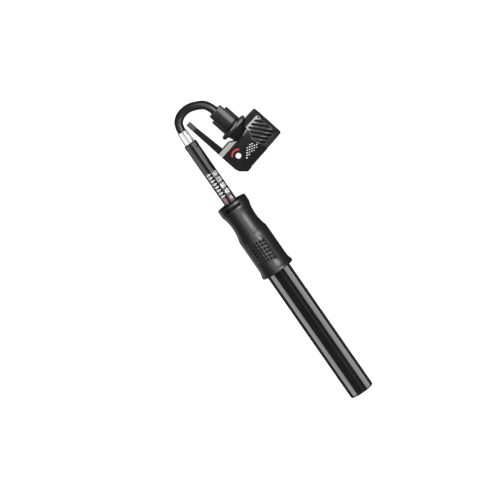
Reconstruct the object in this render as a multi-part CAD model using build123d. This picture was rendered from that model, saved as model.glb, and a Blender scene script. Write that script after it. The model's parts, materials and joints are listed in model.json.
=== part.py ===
from build123d import *
import math
import os

# A bicycle mini pump with a pull-out gauge tube, a short hose and a lever valve head.
# Millimetres. Every piece is drawn in the pump's own frame: X runs along the pump from
# the mouth of the grip (x = 0) towards the closed end of the barrel, Y towards the side
# that the head lies on. The finished pieces are then rolled about X, so that the grip's
# skirt and the head's cap lie on one floor, and moved so that the origin is on the pump's
# axis in the middle of the barrel's bare wall, where a frame bracket holds it.

# ---- Fits ------------------------------------------------------------------------------
RUN_FIT = 0.06  # radial clearance of pieces that run or slide on each other
SNUG = 0.02  # radial clearance of pieces that are pressed or screwed together
PASSING = 0.3  # clearance of pieces that only pass each other

# ---- Gauge tube ------------------------------------------------------------------------
# The pump is sized from the inside out: the gauge tube slides in the rod, the rod in the
# barrel's gland, and the grip goes over the barrel.
LENS_R = 6.2
LENS_BORE_R = LENS_R - 0.9
LENS_TOP_X = -60.0
LENS_FOOT_X = 20.2
TUBE_CAP_R = LENS_R + 0.15
TUBE_CAP_LENGTH = 4.3
TUBE_CAP_PLUG = 6.0
TUBE_CAP_EDGE = 0.7
TUBE_CAP_GROOVE_X = 2.2  # from the lens's top to the ring groove in the cap's plug
AIR_TUBE_R = 2.0
AIR_TUBE_BORE_R = AIR_TUBE_R - 0.6
AIR_TUBE_TOP = 0.9  # how far the air tube reaches past the lens's top
SLEEVE_R = LENS_BORE_R - 0.7
SLEEVE_BORE_R = SLEEVE_R - 1.0
SLEEVE_TOP_X = -53.6
SLEEVE_FOOT_X = 13.6
SLEEVE_SLOT_WIDTH = 1.8
INDICATOR_X = (-6.8, -3.5)
GAUGE_TRAVEL = 27.0
GAUGE_SPRING_R = AIR_TUBE_R + 0.8
GAUGE_SPRING_TURNS = 11
FOOT_PLUG = 6.0
FOOT_STEM_R = LENS_BORE_R - 1.3
FOOT_FLANGE_R = FOOT_STEM_R + 1.2
FOOT_FLANGE_THICK = 1.6
CARRIER_GAP = 0.4
CARRIER_LENGTH = 9.6
CARRIER_RING_MINOR_R = 1.2
SMALL_GROOVE = 1.2  # depth and width of the grooves of the small sealing rings
SMALL_RING_MINOR_R = 0.55

# ---- Rod and piston --------------------------------------------------------------------
ROD_BORE_R = LENS_R + 0.7
ROD_R = ROD_BORE_R + 1.1
ROD_END_X = 190.0
ROD_CLIP_R = ROD_R + 1.6
ROD_CLIP_THICK = 0.8
ROD_CLIP_GROOVE = 0.3
BARREL_BORE_R = ROD_R + 2.3
PISTON_R = BARREL_BORE_R - 0.2
PISTON_START_X = ROD_END_X - 2.0
PISTON_LENGTH = 12.0
PISTON_RING_MINOR_R = 1.2
PISTON_RING_INSET = 2.4  # from the piston's face to the middle of its ring
GUIDE_RING_INSET = 2.0
GUIDE_RING_LENGTH = 2.6
GUIDE_RING_THICK = 0.8
VALVE_SEAT_INSET = 4.0
VALVE_BALL_R = 2.2
VALVE_CHAMBER_R = VALVE_BALL_R + 1.0
VALVE_PORT_R = 1.5
VALVE_SPRING_TURNS = 2
SPRING_WIRE_R = 0.25

# ---- Barrel ----------------------------------------------------------------------------
BARREL_R = BARREL_BORE_R + 1.4
BARREL_TUCKED_R = BARREL_R - 0.2  # the stretch that the grip hides when the pump is closed
BARREL_MOUTH_X = 30.0
BARREL_END_X = 206.2
BARREL_EDGE = 0.4
END_CAP_R = BARREL_R - 0.1
END_CAP_FLANGE = 1.5
END_CAP_PLUG = 3.7
END_CAP_EDGE = 1.2
BUMPER_THICK = 1.7
BUMPER_R = ROD_R
GLAND_LENGTH = 12.0
GLAND_WIPER_LENGTH = 2.0
GLAND_WIPER_R = ROD_R + 1.3
GLAND_BUMPER_LENGTH = 2.5

# ---- Lock collar -----------------------------------------------------------------------
SOCKET_R = ROD_R + 2.0  # the mouth that the head's connector is stowed in
SOCKET_DEPTH = 18.0
COLLAR_R = SOCKET_R + 1.18
COLLAR_TOP_X = 0.6
COLLAR_LENGTH = 27.0
RETAINER_THICK = 2.0

# ---- Grip ------------------------------------------------------------------------------
GRIP_LENGTH = 74.0
RIM_R = COLLAR_R + 3.32
RIM_LENGTH = 7.5
RIM_EDGE = 0.6
WAIST_R = COLLAR_R + 1.17
WAIST_X = 21.0
PALM_R = BARREL_R + 2.95
PALM_START_X = 34.0
PALM_END_X = GRIP_LENGTH - 8.5
SKIRT_R = PALM_R + 1.45
SKIRT_X = GRIP_LENGTH - 2.2
SKIRT_LIP = 1.0
SKIRT_BUSH_LENGTH = 7.0
SKIRT_BUSH_WALL = 1.0
CLIP_WINDOW_X = (2.7, 5.6)
CLIP_WINDOW_Y = (-8.8, 6.5)
CLIP_TAB_Y = (-5.8, 6.2)
CLIP_TAB_R = RIM_R - 0.6
CLIP_SEAT = 0.6  # wall that the collar keeps under the clip
CLIP_RELIEF = 0.5  # depth of the collar's own cut under the window

# ---- Ferrule and hose ------------------------------------------------------------------
HOSE_R = 4.0
HOSE_CLEARANCE = 0.06
HOSE_TUCK = 2.5  # how far the hose's ends go into the ferrule and the collar
FERRULE_BASE_R = LENS_R - 1.1
FERRULE_TOP_R = HOSE_R + 0.6
FERRULE_LENGTH = 12.5
FERRULE_EDGE = 0.25
FERRULE_STUD_R = 3.0
FERRULE_STUD = 3.2

# ---- Head ------------------------------------------------------------------------------
# The head has its own axes: along the connector (away from the hose), towards the valve
# mouth, and across its thickness, with zero on the connector's axis at the flange.
HEAD_X = -52.3
HEAD_Y = 40.4
HEAD_RISE = 12.0  # the head's middle plane lies this far above the pump's axis
HEAD_TURN = 13.65
MOUTH_X = 16.1
MOUTH_Y = 25.2
CAP_R = 16.5
HOUSING_OUTLINE = (
    (3.1, -26.9),
    (3.1, -12.5),
    (8.0, -6.0),
    (8.0, 9.0),
    (32.4, 9.0),
    (32.4, -15.4),
    (33.5, -16.5),
    (33.5, -20.4),
    (26.4, -25.9),
    (22.5, -26.9),
)
SHOULDER_Y = (-10.0, 1.0)
SIDE_WINDOW_X = (22.3, 24.5)
SIDE_WINDOW_Y = (-18.8, -13.6)
SIDE_WINDOW_DEPTH = 1.5
MOUTH_RING_LENGTH = 2.8
MOUTH_RING_EDGE = 2.3
MOUTH_HOLE_R = 5.2
BOSS_R = 12.5
BOSS_TOP_Y = 20.4
CHAMBER_R = 8.0
CHAMBER_FLOOR_Y = -8.6
BODY_HALF = 12.0
BODY_LEFT_X = HOUSING_OUTLINE[0][0]
BODY_RIGHT_X = HOUSING_OUTLINE[7][0]
BODY_ROUND_X = 25.5
BODY_BEVEL = 4.0
LOWER_EDGE_OF_SLEEVE = ((-1.0, 7.2), (8.6, 6.8), (15.5, 2.0), (33.5, 7.2))
SEAM = 0.25
GROMMET_R = 7.7
GROMMET_BORE_R = 4.0
GROMMET_BORE_DEPTH = 10.0
GROMMET_FLOOR = 2.0
GROMMET_PORT_R = 1.2
PLUNGER_TRAVEL = 2.5
PLUNGER_RING_MINOR_R = 1.0
FLANGE_R = RIM_R - 0.8
FLANGE_X = (-3.7, -0.7)
FLANGE_EDGE = 0.5
CONNECTOR_CONE_R = (FLANGE_R - 2.6, FLANGE_R / 2)
EAR_R = SOCKET_R - PASSING
EAR_WIDTH = 7.5
EAR_X = (-19.4, -4.6)
CORE_R = EAR_R - 2.2
RING_GROOVE_X = -5.6
CONNECTOR_RING_MINOR_R = 0.9
CONNECTOR_RING_PROUD = 0.4  # how far the ring stands out of its groove
HOSE_COLLAR_R = CORE_R - 0.3
HOSE_COLLAR_EDGE = 0.8
HOSE_COLLAR_LENGTH = 5.4
HOSE_BARB_STUD_R = 3.2
HOSE_BARB_STUD = 4.9
HOSE_BARB_SOCKET = 5.0
AIR_PORT_R = 1.5

# ---- Lever -----------------------------------------------------------------------------
PIVOT = (16.7, -15.9)
PIN_R = 2.5
LEVER_HALF = 5.0
LEVER_HUB_R = 7.0
LEVER_TIP_X = -34.8
LEVER_FLOOR_Y = -26.9
LEVER_TIP_THICK = 4.5
LEVER_ROOT_THICK = 6.4
LEVER_SLOT_RIGHT_X = 28.0
PAD_LENGTH = 7.9
PAD_DEPTH = 1.4
DISC_R = 7.2
DISC_THICK = 2.0
MARK_R = (4.9, 6.4)
MARK_ANGLES = (125.0, 235.0)
MARK_DEPTH = 0.8


def along_x(radius, start, end):
    """A rod on the X axis between two stations."""
    return Pos((start + end) / 2, 0, 0) * Rot(0, 90, 0) * Cylinder(radius, end - start)


def ring_x(outer, inner, start, end):
    """A tube on the X axis between two stations."""
    return along_x(outer, start, end) - along_x(inner, start - 1, end + 1)


def cone_x(start_radius, end_radius, start, end):
    """A cone on the X axis, narrowing or widening between two stations."""
    return Pos((start + end) / 2, 0, 0) * Rot(0, 90, 0) * Cone(start_radius, end_radius, end - start)


def o_ring_x(outer, minor, x):
    """A round-section ring on the X axis, given its outer radius."""
    return Pos(x, 0, 0) * Rot(0, 90, 0) * Torus(outer - minor, minor)


def along_y(radius, start, end):
    """A rod on the valve mouth's axis between two heights."""
    return Pos(MOUTH_X, (start + end) / 2, 0) * Rot(-90, 0, 0) * Cylinder(radius, end - start)


def cone_y(start_radius, end_radius, start, end):
    """A cone on the valve mouth's axis between two heights."""
    height = end - start
    return Pos(MOUTH_X, (start + end) / 2, 0) * Rot(-90, 0, 0) * Cone(start_radius, end_radius, height)


def ring_y(outer, inner, start, end):
    """A tube on the valve mouth's axis between two heights."""
    return along_y(outer, start, end) - along_y(inner, start - 1, end + 1)


def at_pivot(shape, z=0.0):
    """Places a shape on the lever's pivot."""
    return Pos(PIVOT[0], PIVOT[1], z) * shape


def block(x_range, y_range, z_range):
    """A box between two corners."""
    size = [b - a for a, b in (x_range, y_range, z_range)]
    centre = [(a + b) / 2 for a, b in (x_range, y_range, z_range)]
    return Pos(*centre) * Box(*size)


def prism(points, half):
    """A straight-sided outline, as thick as twice its half width."""
    return extrude(make_face(Polyline(*points, close=True)), amount=half, both=True)


def coil_x(radius, wire, turns, start, end):
    """A coil spring on the X axis that touches both stations."""
    length = end - start - 2 * wire
    path = Helix(pitch=length / turns, height=length, radius=radius)
    section = Plane(origin=path @ 0, z_dir=path % 0) * Circle(wire)
    return Pos(start + wire, 0, 0) * Rot(0, 90, 0) * sweep(section, path=path)


# ---- The grip and what is fixed in it --------------------------------------------------
def make_grip_shell():
    """The grip's moulded shell: rim, waist, palm and flared skirt."""
    rim = Polyline((0, 0), (0, RIM_R), (RIM_LENGTH, RIM_R))
    waist = ThreePointArc((RIM_LENGTH, RIM_R), (WAIST_X, WAIST_R), (PALM_START_X, PALM_R))
    palm = Line((PALM_START_X, PALM_R), (PALM_END_X, PALM_R))
    flare_middle = ((PALM_END_X + SKIRT_X) / 2 + SKIRT_LIP / 2, (PALM_R + SKIRT_R) / 2 - SKIRT_LIP / 5)
    flare = ThreePointArc((PALM_END_X, PALM_R), flare_middle, (SKIRT_X, SKIRT_R))
    lip = Polyline(
        (SKIRT_X, SKIRT_R),
        (GRIP_LENGTH - SKIRT_LIP, SKIRT_R),
        (GRIP_LENGTH, SKIRT_R - SKIRT_LIP),
        (GRIP_LENGTH, 0),
        (0, 0),
    )
    shell = revolve(make_face(rim + waist + palm + flare + lip), Axis.X)
    shell = shell.solid()
    rim_edge = shell.edges().sort_by(Axis.X)[0]
    shell = chamfer(rim_edge, RIM_EDGE)
    shell -= along_x(COLLAR_R + SNUG, -1, BARREL_MOUTH_X)
    shell -= along_x(BARREL_R + PASSING, BARREL_MOUTH_X - 1, GRIP_LENGTH + 1)
    bush_start = GRIP_LENGTH - SKIRT_LIP - SKIRT_BUSH_LENGTH
    shell -= along_x(BARREL_R + SKIRT_BUSH_WALL + SNUG, bush_start, GRIP_LENGTH + 1)
    shell -= block(CLIP_WINDOW_X, CLIP_WINDOW_Y, (0, RIM_R + 1))
    return shell


def make_skirt_bush():
    """The plain bush in the skirt that the barrel slides in."""
    end = GRIP_LENGTH - SKIRT_LIP
    return ring_x(BARREL_R + SKIRT_BUSH_WALL, BARREL_R + RUN_FIT, end - SKIRT_BUSH_LENGTH, end)


CLIP_X = (CLIP_WINDOW_X[0] + PASSING, CLIP_WINDOW_X[1] - PASSING)


def clip_ring(clearance):
    """The lock clip's arc, or with a clearance the groove that holds it."""
    start, end = CLIP_X[0] - clearance, CLIP_X[1] + clearance
    arc = ring_x(CLIP_TAB_R + clearance, SOCKET_R + CLIP_SEAT - clearance, start, end)
    return arc & block((start - 1, end + 1), CLIP_WINDOW_Y, (0, RIM_R))


def make_lock_collar():
    """The collar in the grip's mouth: the connector's socket and the rod's anchor."""
    foot = COLLAR_TOP_X + COLLAR_LENGTH
    collar = along_x(COLLAR_R, COLLAR_TOP_X, foot)
    collar -= along_x(SOCKET_R, COLLAR_TOP_X - 1, SOCKET_DEPTH + RETAINER_THICK)
    collar -= along_x(ROD_R + SNUG, 0, foot + 1)
    return collar - clip_ring(SNUG) - block(CLIP_WINDOW_X, CLIP_WINDOW_Y, (COLLAR_R - CLIP_RELIEF, RIM_R))


def make_lock_clip():
    """The clip behind the window in the rim, which catches the connector's ears."""
    spring = clip_ring(0) & along_x(COLLAR_R - 2 * SNUG, 0, RIM_LENGTH)
    return spring + (clip_ring(0) & block(CLIP_X, CLIP_TAB_Y, (0, RIM_R)))


def make_tube_retainer():
    """The ring nut on the rod's end that keeps the gauge tube in the rod."""
    start = SOCKET_DEPTH
    return ring_x(SOCKET_R - SNUG, LENS_R + RUN_FIT, start, start + RETAINER_THICK)


ROD_START_X = SOCKET_DEPTH + RETAINER_THICK
ROD_CLIP_X = COLLAR_TOP_X + COLLAR_LENGTH + SNUG


def make_piston_rod():
    """The hollow rod that the gauge tube is stowed in."""
    rod = ring_x(ROD_R, ROD_BORE_R, ROD_START_X, ROD_END_X)
    groove_end = ROD_CLIP_X + ROD_CLIP_THICK
    return rod - ring_x(ROD_R + 1, ROD_R - ROD_CLIP_GROOVE, ROD_CLIP_X - SNUG, groove_end + SNUG)


def make_rod_clip():
    """The snap ring that holds the rod in the collar."""
    clip = ring_x(ROD_CLIP_R, ROD_R - ROD_CLIP_GROOVE + RUN_FIT, ROD_CLIP_X, ROD_CLIP_X + ROD_CLIP_THICK)
    gap = block((0, BARREL_MOUTH_X), (0, ROD_CLIP_R + 1), (-ROD_CLIP_THICK, ROD_CLIP_THICK))
    return clip - gap


PISTON_END_X = PISTON_START_X + PISTON_LENGTH
PISTON_RING_X = PISTON_END_X - PISTON_RING_INSET
GUIDE_RING_X = PISTON_START_X + GUIDE_RING_INSET
VALVE_SEAT_X = PISTON_END_X - VALVE_SEAT_INSET


def make_piston_head():
    """The piston on the rod's end, with its ring grooves and the valve's chamber."""
    head = along_x(PISTON_R, PISTON_START_X, PISTON_END_X)
    rod_socket_end = ROD_END_X + SNUG
    head -= along_x(ROD_R + SNUG, PISTON_START_X - 1, rod_socket_end)
    head -= along_x(VALVE_CHAMBER_R, PISTON_START_X, VALVE_SEAT_X)
    head -= along_x(VALVE_PORT_R, PISTON_START_X, PISTON_END_X + 1)
    half = PISTON_RING_MINOR_R + SNUG
    groove_floor = BARREL_BORE_R - RUN_FIT - 2 * PISTON_RING_MINOR_R - SNUG
    head -= ring_x(PISTON_R + 1, groove_floor, PISTON_RING_X - half, PISTON_RING_X + half)
    guide_floor = BARREL_BORE_R - RUN_FIT - GUIDE_RING_THICK - SNUG
    guide_end = GUIDE_RING_X + GUIDE_RING_LENGTH
    return head - ring_x(PISTON_R + 1, guide_floor, GUIDE_RING_X - SNUG, guide_end + SNUG)


def make_piston_seal():
    """The round ring that seals the piston in the barrel."""
    return o_ring_x(BARREL_BORE_R - RUN_FIT, PISTON_RING_MINOR_R, PISTON_RING_X)


def make_piston_guide():
    """The plain ring that guides the piston in the barrel."""
    outer = BARREL_BORE_R - RUN_FIT
    return ring_x(outer, outer - GUIDE_RING_THICK, GUIDE_RING_X, GUIDE_RING_X + GUIDE_RING_LENGTH)


VALVE_BALL_X = VALVE_SEAT_X - math.sqrt(VALVE_BALL_R**2 - VALVE_PORT_R**2)


def make_valve_ball():
    """The ball that lets air into the rod and not back."""
    return Pos(VALVE_BALL_X - SNUG, 0, 0) * Sphere(VALVE_BALL_R)


def make_valve_retainer():
    """The pierced disc in the rod's end that backs the valve's spring."""
    end = ROD_END_X
    return ring_x(ROD_BORE_R - SNUG, VALVE_PORT_R, end - RETAINER_THICK, end)


def make_valve_spring():
    """The short spring that presses the ball on its seat."""
    end = VALVE_BALL_X - VALVE_BALL_R * 0.92
    return coil_x(VALVE_BALL_R * 0.6, SPRING_WIRE_R, VALVE_SPRING_TURNS, ROD_END_X + SNUG, end)


# ---- The barrel and what moves with it -------------------------------------------------
def make_barrel_tube():
    """The barrel's bare wall, turned down where the grip hides it."""
    tube = along_x(BARREL_R, GRIP_LENGTH + PASSING, BARREL_END_X)
    tube = chamfer(tube.edges().sort_by(Axis.X)[-1], BARREL_EDGE)
    tube += along_x(BARREL_TUCKED_R, BARREL_MOUTH_X, GRIP_LENGTH + 1)
    return tube - along_x(BARREL_BORE_R, BARREL_MOUTH_X - 1, BARREL_END_X + 1)


def make_end_cap():
    """The plug and rounded lid of the barrel's closed end."""
    lid = along_x(END_CAP_R, BARREL_END_X, BARREL_END_X + END_CAP_FLANGE)
    lid = fillet(lid.edges().sort_by(Axis.X)[-1], END_CAP_EDGE)
    plug_start = BARREL_END_X - END_CAP_PLUG
    plug = along_x(BARREL_BORE_R - SNUG, plug_start, BARREL_END_X)
    groove_start = plug_start + SMALL_GROOVE
    groove = ring_x(BARREL_BORE_R, BARREL_BORE_R - SMALL_GROOVE, groove_start, groove_start + SMALL_GROOVE)
    return lid + plug - groove


def make_end_cap_seal():
    """The ring that seals the end cap in the barrel."""
    middle = BARREL_END_X - END_CAP_PLUG + SMALL_GROOVE * 3 / 2
    return o_ring_x(BARREL_BORE_R - SNUG, SMALL_RING_MINOR_R, middle)


def make_end_bumper():
    """The rubber disc that the piston stops on when the pump is closed."""
    end = BARREL_END_X - END_CAP_PLUG
    return along_x(BUMPER_R, end - BUMPER_THICK, end)


def make_gland_nut():
    """The nut in the barrel's mouth that slides on the rod."""
    start = BARREL_MOUTH_X
    nut = ring_x(BARREL_BORE_R - SNUG, ROD_R + RUN_FIT, start, start + GLAND_LENGTH)
    wiper_start = start + GLAND_WIPER_LENGTH
    wiper_end = wiper_start + GLAND_WIPER_LENGTH + 2 * SNUG
    return nut - ring_x(GLAND_WIPER_R + SNUG, ROD_R, wiper_start - SNUG, wiper_end)


def make_gland_wiper():
    """The felt ring in the gland that wipes the rod."""
    start = BARREL_MOUTH_X + GLAND_WIPER_LENGTH
    return ring_x(GLAND_WIPER_R, ROD_R + RUN_FIT, start, start + GLAND_WIPER_LENGTH)


def make_gland_bumper():
    """The rubber ring that meets the piston at full stroke."""
    start = BARREL_MOUTH_X + GLAND_LENGTH
    return ring_x(BARREL_BORE_R - SNUG, ROD_R + PASSING, start, start + GLAND_BUMPER_LENGTH)


# ---- The carrier at the gauge tube's foot ----------------------------------------------
CARRIER_START_X = LENS_FOOT_X + CARRIER_GAP / 2
CARRIER_END_X = CARRIER_START_X + CARRIER_LENGTH
CARRIER_RING_X = (CARRIER_START_X + CARRIER_END_X) / 2


def make_tube_carrier():
    """The collar that slides in the rod and that the gauge tube turns in."""
    carrier = ring_x(ROD_BORE_R - RUN_FIT, FOOT_STEM_R + RUN_FIT, CARRIER_START_X, CARRIER_END_X)
    half = CARRIER_RING_MINOR_R + SNUG
    floor = ROD_BORE_R - RUN_FIT - 2 * CARRIER_RING_MINOR_R - SNUG
    return carrier - ring_x(ROD_R, floor, CARRIER_RING_X - half, CARRIER_RING_X + half)


def make_tube_seal():
    """The ring that seals the carrier in the rod."""
    return o_ring_x(ROD_BORE_R - RUN_FIT, CARRIER_RING_MINOR_R, CARRIER_RING_X)


# ---- The gauge tube --------------------------------------------------------------------
def make_gauge_lens():
    """The clear outer tube of the gauge."""
    return ring_x(LENS_R, LENS_BORE_R, LENS_TOP_X, LENS_FOOT_X)


def make_gauge_foot():
    """The plug in the lens's foot and the stem that turns in the carrier."""
    flange_start = CARRIER_END_X + CARRIER_GAP
    foot = along_x(LENS_BORE_R - SNUG, LENS_FOOT_X - FOOT_PLUG, LENS_FOOT_X)
    foot += along_x(FOOT_STEM_R, LENS_FOOT_X, flange_start)
    foot += along_x(FOOT_FLANGE_R, flange_start, flange_start + FOOT_FLANGE_THICK)
    return foot - along_x(AIR_TUBE_R + SNUG, 0, CARRIER_END_X + FOOT_FLANGE_THICK + 1)


def make_air_tube():
    """The thin tube that carries the air through the gauge."""
    return ring_x(AIR_TUBE_R, AIR_TUBE_BORE_R, LENS_TOP_X - AIR_TUBE_TOP, CARRIER_END_X)


def make_scale_sleeve():
    """The dark sleeve behind the lens, slotted for the indicator's keys."""
    sleeve = ring_x(SLEEVE_R, SLEEVE_BORE_R, SLEEVE_TOP_X, SLEEVE_FOOT_X)
    slot_x = (INDICATOR_X[0] - GAUGE_TRAVEL - 1, INDICATOR_X[1] + PASSING)
    half = SLEEVE_SLOT_WIDTH / 2
    return sleeve - block(slot_x, (-SLEEVE_R - 1, SLEEVE_R + 1), (-half, half))


def make_tube_cap():
    """The dark cap on the lens's top, which the ferrule screws into."""
    top = LENS_TOP_X - TUBE_CAP_LENGTH
    cap = along_x(TUBE_CAP_R, top, LENS_TOP_X)
    cap = chamfer(cap.edges().sort_by(Axis.X)[0], TUBE_CAP_EDGE)
    cap += along_x(LENS_BORE_R - SNUG, LENS_TOP_X, LENS_TOP_X + TUBE_CAP_PLUG)
    groove_start = LENS_TOP_X + TUBE_CAP_GROOVE_X
    cap -= ring_x(LENS_BORE_R, LENS_BORE_R - SMALL_GROOVE, groove_start, groove_start + SMALL_GROOVE)
    cap -= along_x(FERRULE_STUD_R + SNUG, top - 1, top + FERRULE_STUD + SNUG)
    return cap - along_x(AIR_TUBE_R + SNUG, top, LENS_TOP_X + TUBE_CAP_PLUG + 1)


def make_tube_cap_seal():
    """The ring that seals the cap in the lens."""
    middle = LENS_TOP_X + TUBE_CAP_GROOVE_X + SMALL_GROOVE / 2
    return o_ring_x(LENS_BORE_R - SNUG, SMALL_RING_MINOR_R, middle)


FERRULE_START_X = LENS_TOP_X - TUBE_CAP_LENGTH
FERRULE_END_X = FERRULE_START_X - FERRULE_LENGTH


def make_hose_ferrule():
    """The bright ferrule that grips the hose's lower end."""
    ferrule = cone_x(FERRULE_TOP_R, FERRULE_BASE_R, FERRULE_END_X, FERRULE_START_X)
    ferrule = fillet(ferrule.edges().sort_by(Axis.X)[0], FERRULE_EDGE)
    ferrule += along_x(FERRULE_STUD_R, FERRULE_START_X, FERRULE_START_X + FERRULE_STUD)
    ferrule -= along_x(HOSE_R + HOSE_CLEARANCE, FERRULE_END_X - 1, FERRULE_END_X + HOSE_TUCK)
    return ferrule - along_x(AIR_PORT_R, FERRULE_END_X, FERRULE_START_X + FERRULE_STUD + 1)


def make_gauge_indicator():
    """The red ring on the sleeve, keyed to the ring inside it that the air pushes."""
    start, end = INDICATOR_X
    outer = ring_x(LENS_BORE_R - RUN_FIT, SLEEVE_R + RUN_FIT, start, end)
    inner = ring_x(SLEEVE_BORE_R - RUN_FIT, AIR_TUBE_R + RUN_FIT, start, end)
    half = SLEEVE_SLOT_WIDTH / 2 - RUN_FIT
    reach = SLEEVE_R + 2 * RUN_FIT
    keys = block((start, end), (-reach, reach), (-half, half))
    keys -= along_x(SLEEVE_BORE_R - 2 * RUN_FIT, start - 1, end + 1)
    return outer + inner + keys


def make_gauge_spring():
    """The long weak spring that the indicator rises against."""
    start = LENS_TOP_X + TUBE_CAP_PLUG
    return coil_x(GAUGE_SPRING_R, SPRING_WIRE_R, GAUGE_SPRING_TURNS, start + SNUG, INDICATOR_X[0] - SNUG)


# ---- The hose --------------------------------------------------------------------------
def on_head(x, y=0.0, z=0.0):
    """A point of the head's own axes, in the pump's frame."""
    turn = math.radians(HEAD_TURN)
    pump_x = HEAD_X + x * math.cos(turn) - y * math.sin(turn)
    pump_y = HEAD_Y + x * math.sin(turn) + y * math.cos(turn)
    return (pump_x, pump_y, HEAD_RISE + z)


COLLAR_MOUTH_X = EAR_X[0] - HOSE_COLLAR_LENGTH
HOSE_ROUTE = [
    (FERRULE_END_X + HOSE_TUCK, 0.0, 0.0),
    (-83.3, 0.0, 0.0),
    (-89.7, 6.6, 2.0),
    (-91.6, 15.4, 5.4),
    (-89.4, 23.9, 9.0),
    on_head(COLLAR_MOUTH_X - 8.0),
    on_head(COLLAR_MOUTH_X + HOSE_TUCK),
]


def hose_radii():
    """One radius for each corner of the route: as large as its two runs allow."""
    radii = []
    for before, corner, after in zip(HOSE_ROUTE, HOSE_ROUTE[1:], HOSE_ROUTE[2:]):
        run_in = Vector(*corner) - Vector(*before)
        run_out = Vector(*after) - Vector(*corner)
        half_turn = math.radians(run_in.get_angle(run_out)) / 2
        radii.append(0.45 * min(run_in.length, run_out.length) / math.tan(half_turn))
    return radii


def make_hose():
    """The hose from the ferrule round to the head's collar."""
    radii = hose_radii()
    path = FilletPolyline(*HOSE_ROUTE, radius=radii)
    section = Plane(origin=HOSE_ROUTE[0], z_dir=path % 0) * Circle(HOSE_R)
    hose = sweep(section, path=path)
    expected = math.pi * HOSE_R**2 * path.length
    print("hose radii", [round(r, 1) for r in radii], "length", round(path.length, 2))
    print("hose volume", round(hose.volume, 1), "expected", round(expected, 1))
    return hose


# ---- The head --------------------------------------------------------------------------
def under_sleeve(drop):
    """Everything in the head below the sleeve's lower edge, lowered by a drop."""
    edge = [(x, y - drop) for x, y in LOWER_EDGE_OF_SLEEVE]
    far_right = (MOUTH_X + 2 * CAP_R, edge[-1][1])
    floor = -2 * MOUTH_Y
    left = (edge[0][0] - CAP_R, edge[0][1])
    return prism([left, *edge, far_right, (far_right[0], floor), (left[0], floor)], 2 * CAP_R)


def body_plan():
    """The housing seen from the valve mouth: bevelled towards the hose, round behind."""
    left = Polyline(
        (BODY_ROUND_X, BODY_HALF),
        (BODY_LEFT_X + BODY_BEVEL, BODY_HALF),
        (BODY_LEFT_X, BODY_HALF - BODY_BEVEL),
        (BODY_LEFT_X, BODY_BEVEL - BODY_HALF),
        (BODY_LEFT_X + BODY_BEVEL, -BODY_HALF),
        (BODY_ROUND_X, -BODY_HALF),
    )
    right = ThreePointArc((BODY_ROUND_X, -BODY_HALF), (BODY_RIGHT_X, 0), (BODY_ROUND_X, BODY_HALF))
    return extrude(Plane.XZ * make_face(left + right), amount=2 * MOUTH_Y, both=True)


def connector_cone(clearance):
    """The cone that carries the flange, or with a clearance the room for it."""
    base, tip = CONNECTOR_CONE_R
    return cone_x(base + clearance, tip + clearance, FLANGE_X[1], MOUTH_X)


def make_head_body():
    """The head's housing: two cheeks for the lever, the neck, and the boss for the sleeve."""
    body = prism(HOUSING_OUTLINE, BODY_HALF) & body_plan()
    shoulder_foot, shoulder_top = SHOULDER_Y
    shoulder = cone_y(BODY_HALF, CAP_R, shoulder_foot, shoulder_top)
    shoulder += along_y(CAP_R, shoulder_top, MOUTH_Y - MOUTH_RING_LENGTH)
    neck_x = HOUSING_OUTLINE[2][0]
    shoulder &= block((neck_x, MOUTH_X + CAP_R), (shoulder_foot, MOUTH_Y), (-CAP_R, CAP_R))
    body = (body + shoulder) & under_sleeve(SEAM)
    body += connector_cone(0)
    body += along_y(BOSS_R, 0, BOSS_TOP_Y)
    slot_top = PIVOT[1] + LEVER_HUB_R + PASSING
    slot_half = LEVER_HALF + PASSING
    body -= block((0, LEVER_SLOT_RIGHT_X), (LEVER_FLOOR_Y - 1, slot_top), (-slot_half, slot_half))
    body -= along_y(CHAMBER_R, CHAMBER_FLOOR_Y - 1, MOUTH_Y)
    body -= at_pivot(Cylinder(PIN_R + RUN_FIT, 4 * BODY_HALF))
    recess = Cylinder(DISC_R + PASSING, DISC_THICK + 1)
    recess_z = BODY_HALF - DISC_THICK / 2 + 0.5
    body -= at_pivot(recess, recess_z) + at_pivot(recess, -recess_z)
    window = block(SIDE_WINDOW_X, SIDE_WINDOW_Y, (BODY_HALF - SIDE_WINDOW_DEPTH, BODY_HALF + 1))
    return body - window - along_x(AIR_PORT_R, FLANGE_X[1] - 1, MOUTH_X)


def make_head_sleeve():
    """The ribbed sleeve round the head's upper half."""
    top = MOUTH_Y - MOUTH_RING_LENGTH - SEAM
    sleeve = ring_y(CAP_R, BOSS_R + SNUG, -MOUTH_Y, top)
    sleeve -= under_sleeve(0)
    return sleeve - connector_cone(SNUG)


def make_mouth_ring():
    """The screw ring that holds the grommet in the head's mouth."""
    start = MOUTH_Y - MOUTH_RING_LENGTH
    ring = along_y(CAP_R, start, MOUTH_Y)
    ring = fillet(ring.edges().sort_by(Axis.Y)[-1], MOUTH_RING_EDGE)
    skirt = ring_y(BOSS_R - 1.5, CHAMBER_R, BOSS_TOP_Y + SNUG, start)
    return ring + skirt - along_y(MOUTH_HOLE_R, 0, MOUTH_Y + 1)


GROMMET_TOP_Y = MOUTH_Y - 1.2
GROMMET_FLOOR_Y = GROMMET_TOP_Y - GROMMET_BORE_DEPTH - GROMMET_FLOOR


def make_valve_grommet():
    """The rubber grommet that a tyre valve is pushed into."""
    top = MOUTH_Y - MOUTH_RING_LENGTH - SNUG
    grommet = along_y(GROMMET_R, GROMMET_FLOOR_Y, top)
    grommet += along_y(MOUTH_HOLE_R - SNUG, top, GROMMET_TOP_Y)
    grommet -= along_y(GROMMET_BORE_R, GROMMET_TOP_Y - GROMMET_BORE_DEPTH, MOUTH_Y)
    return grommet - along_y(GROMMET_PORT_R, GROMMET_FLOOR_Y - 1, MOUTH_Y)


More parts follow.
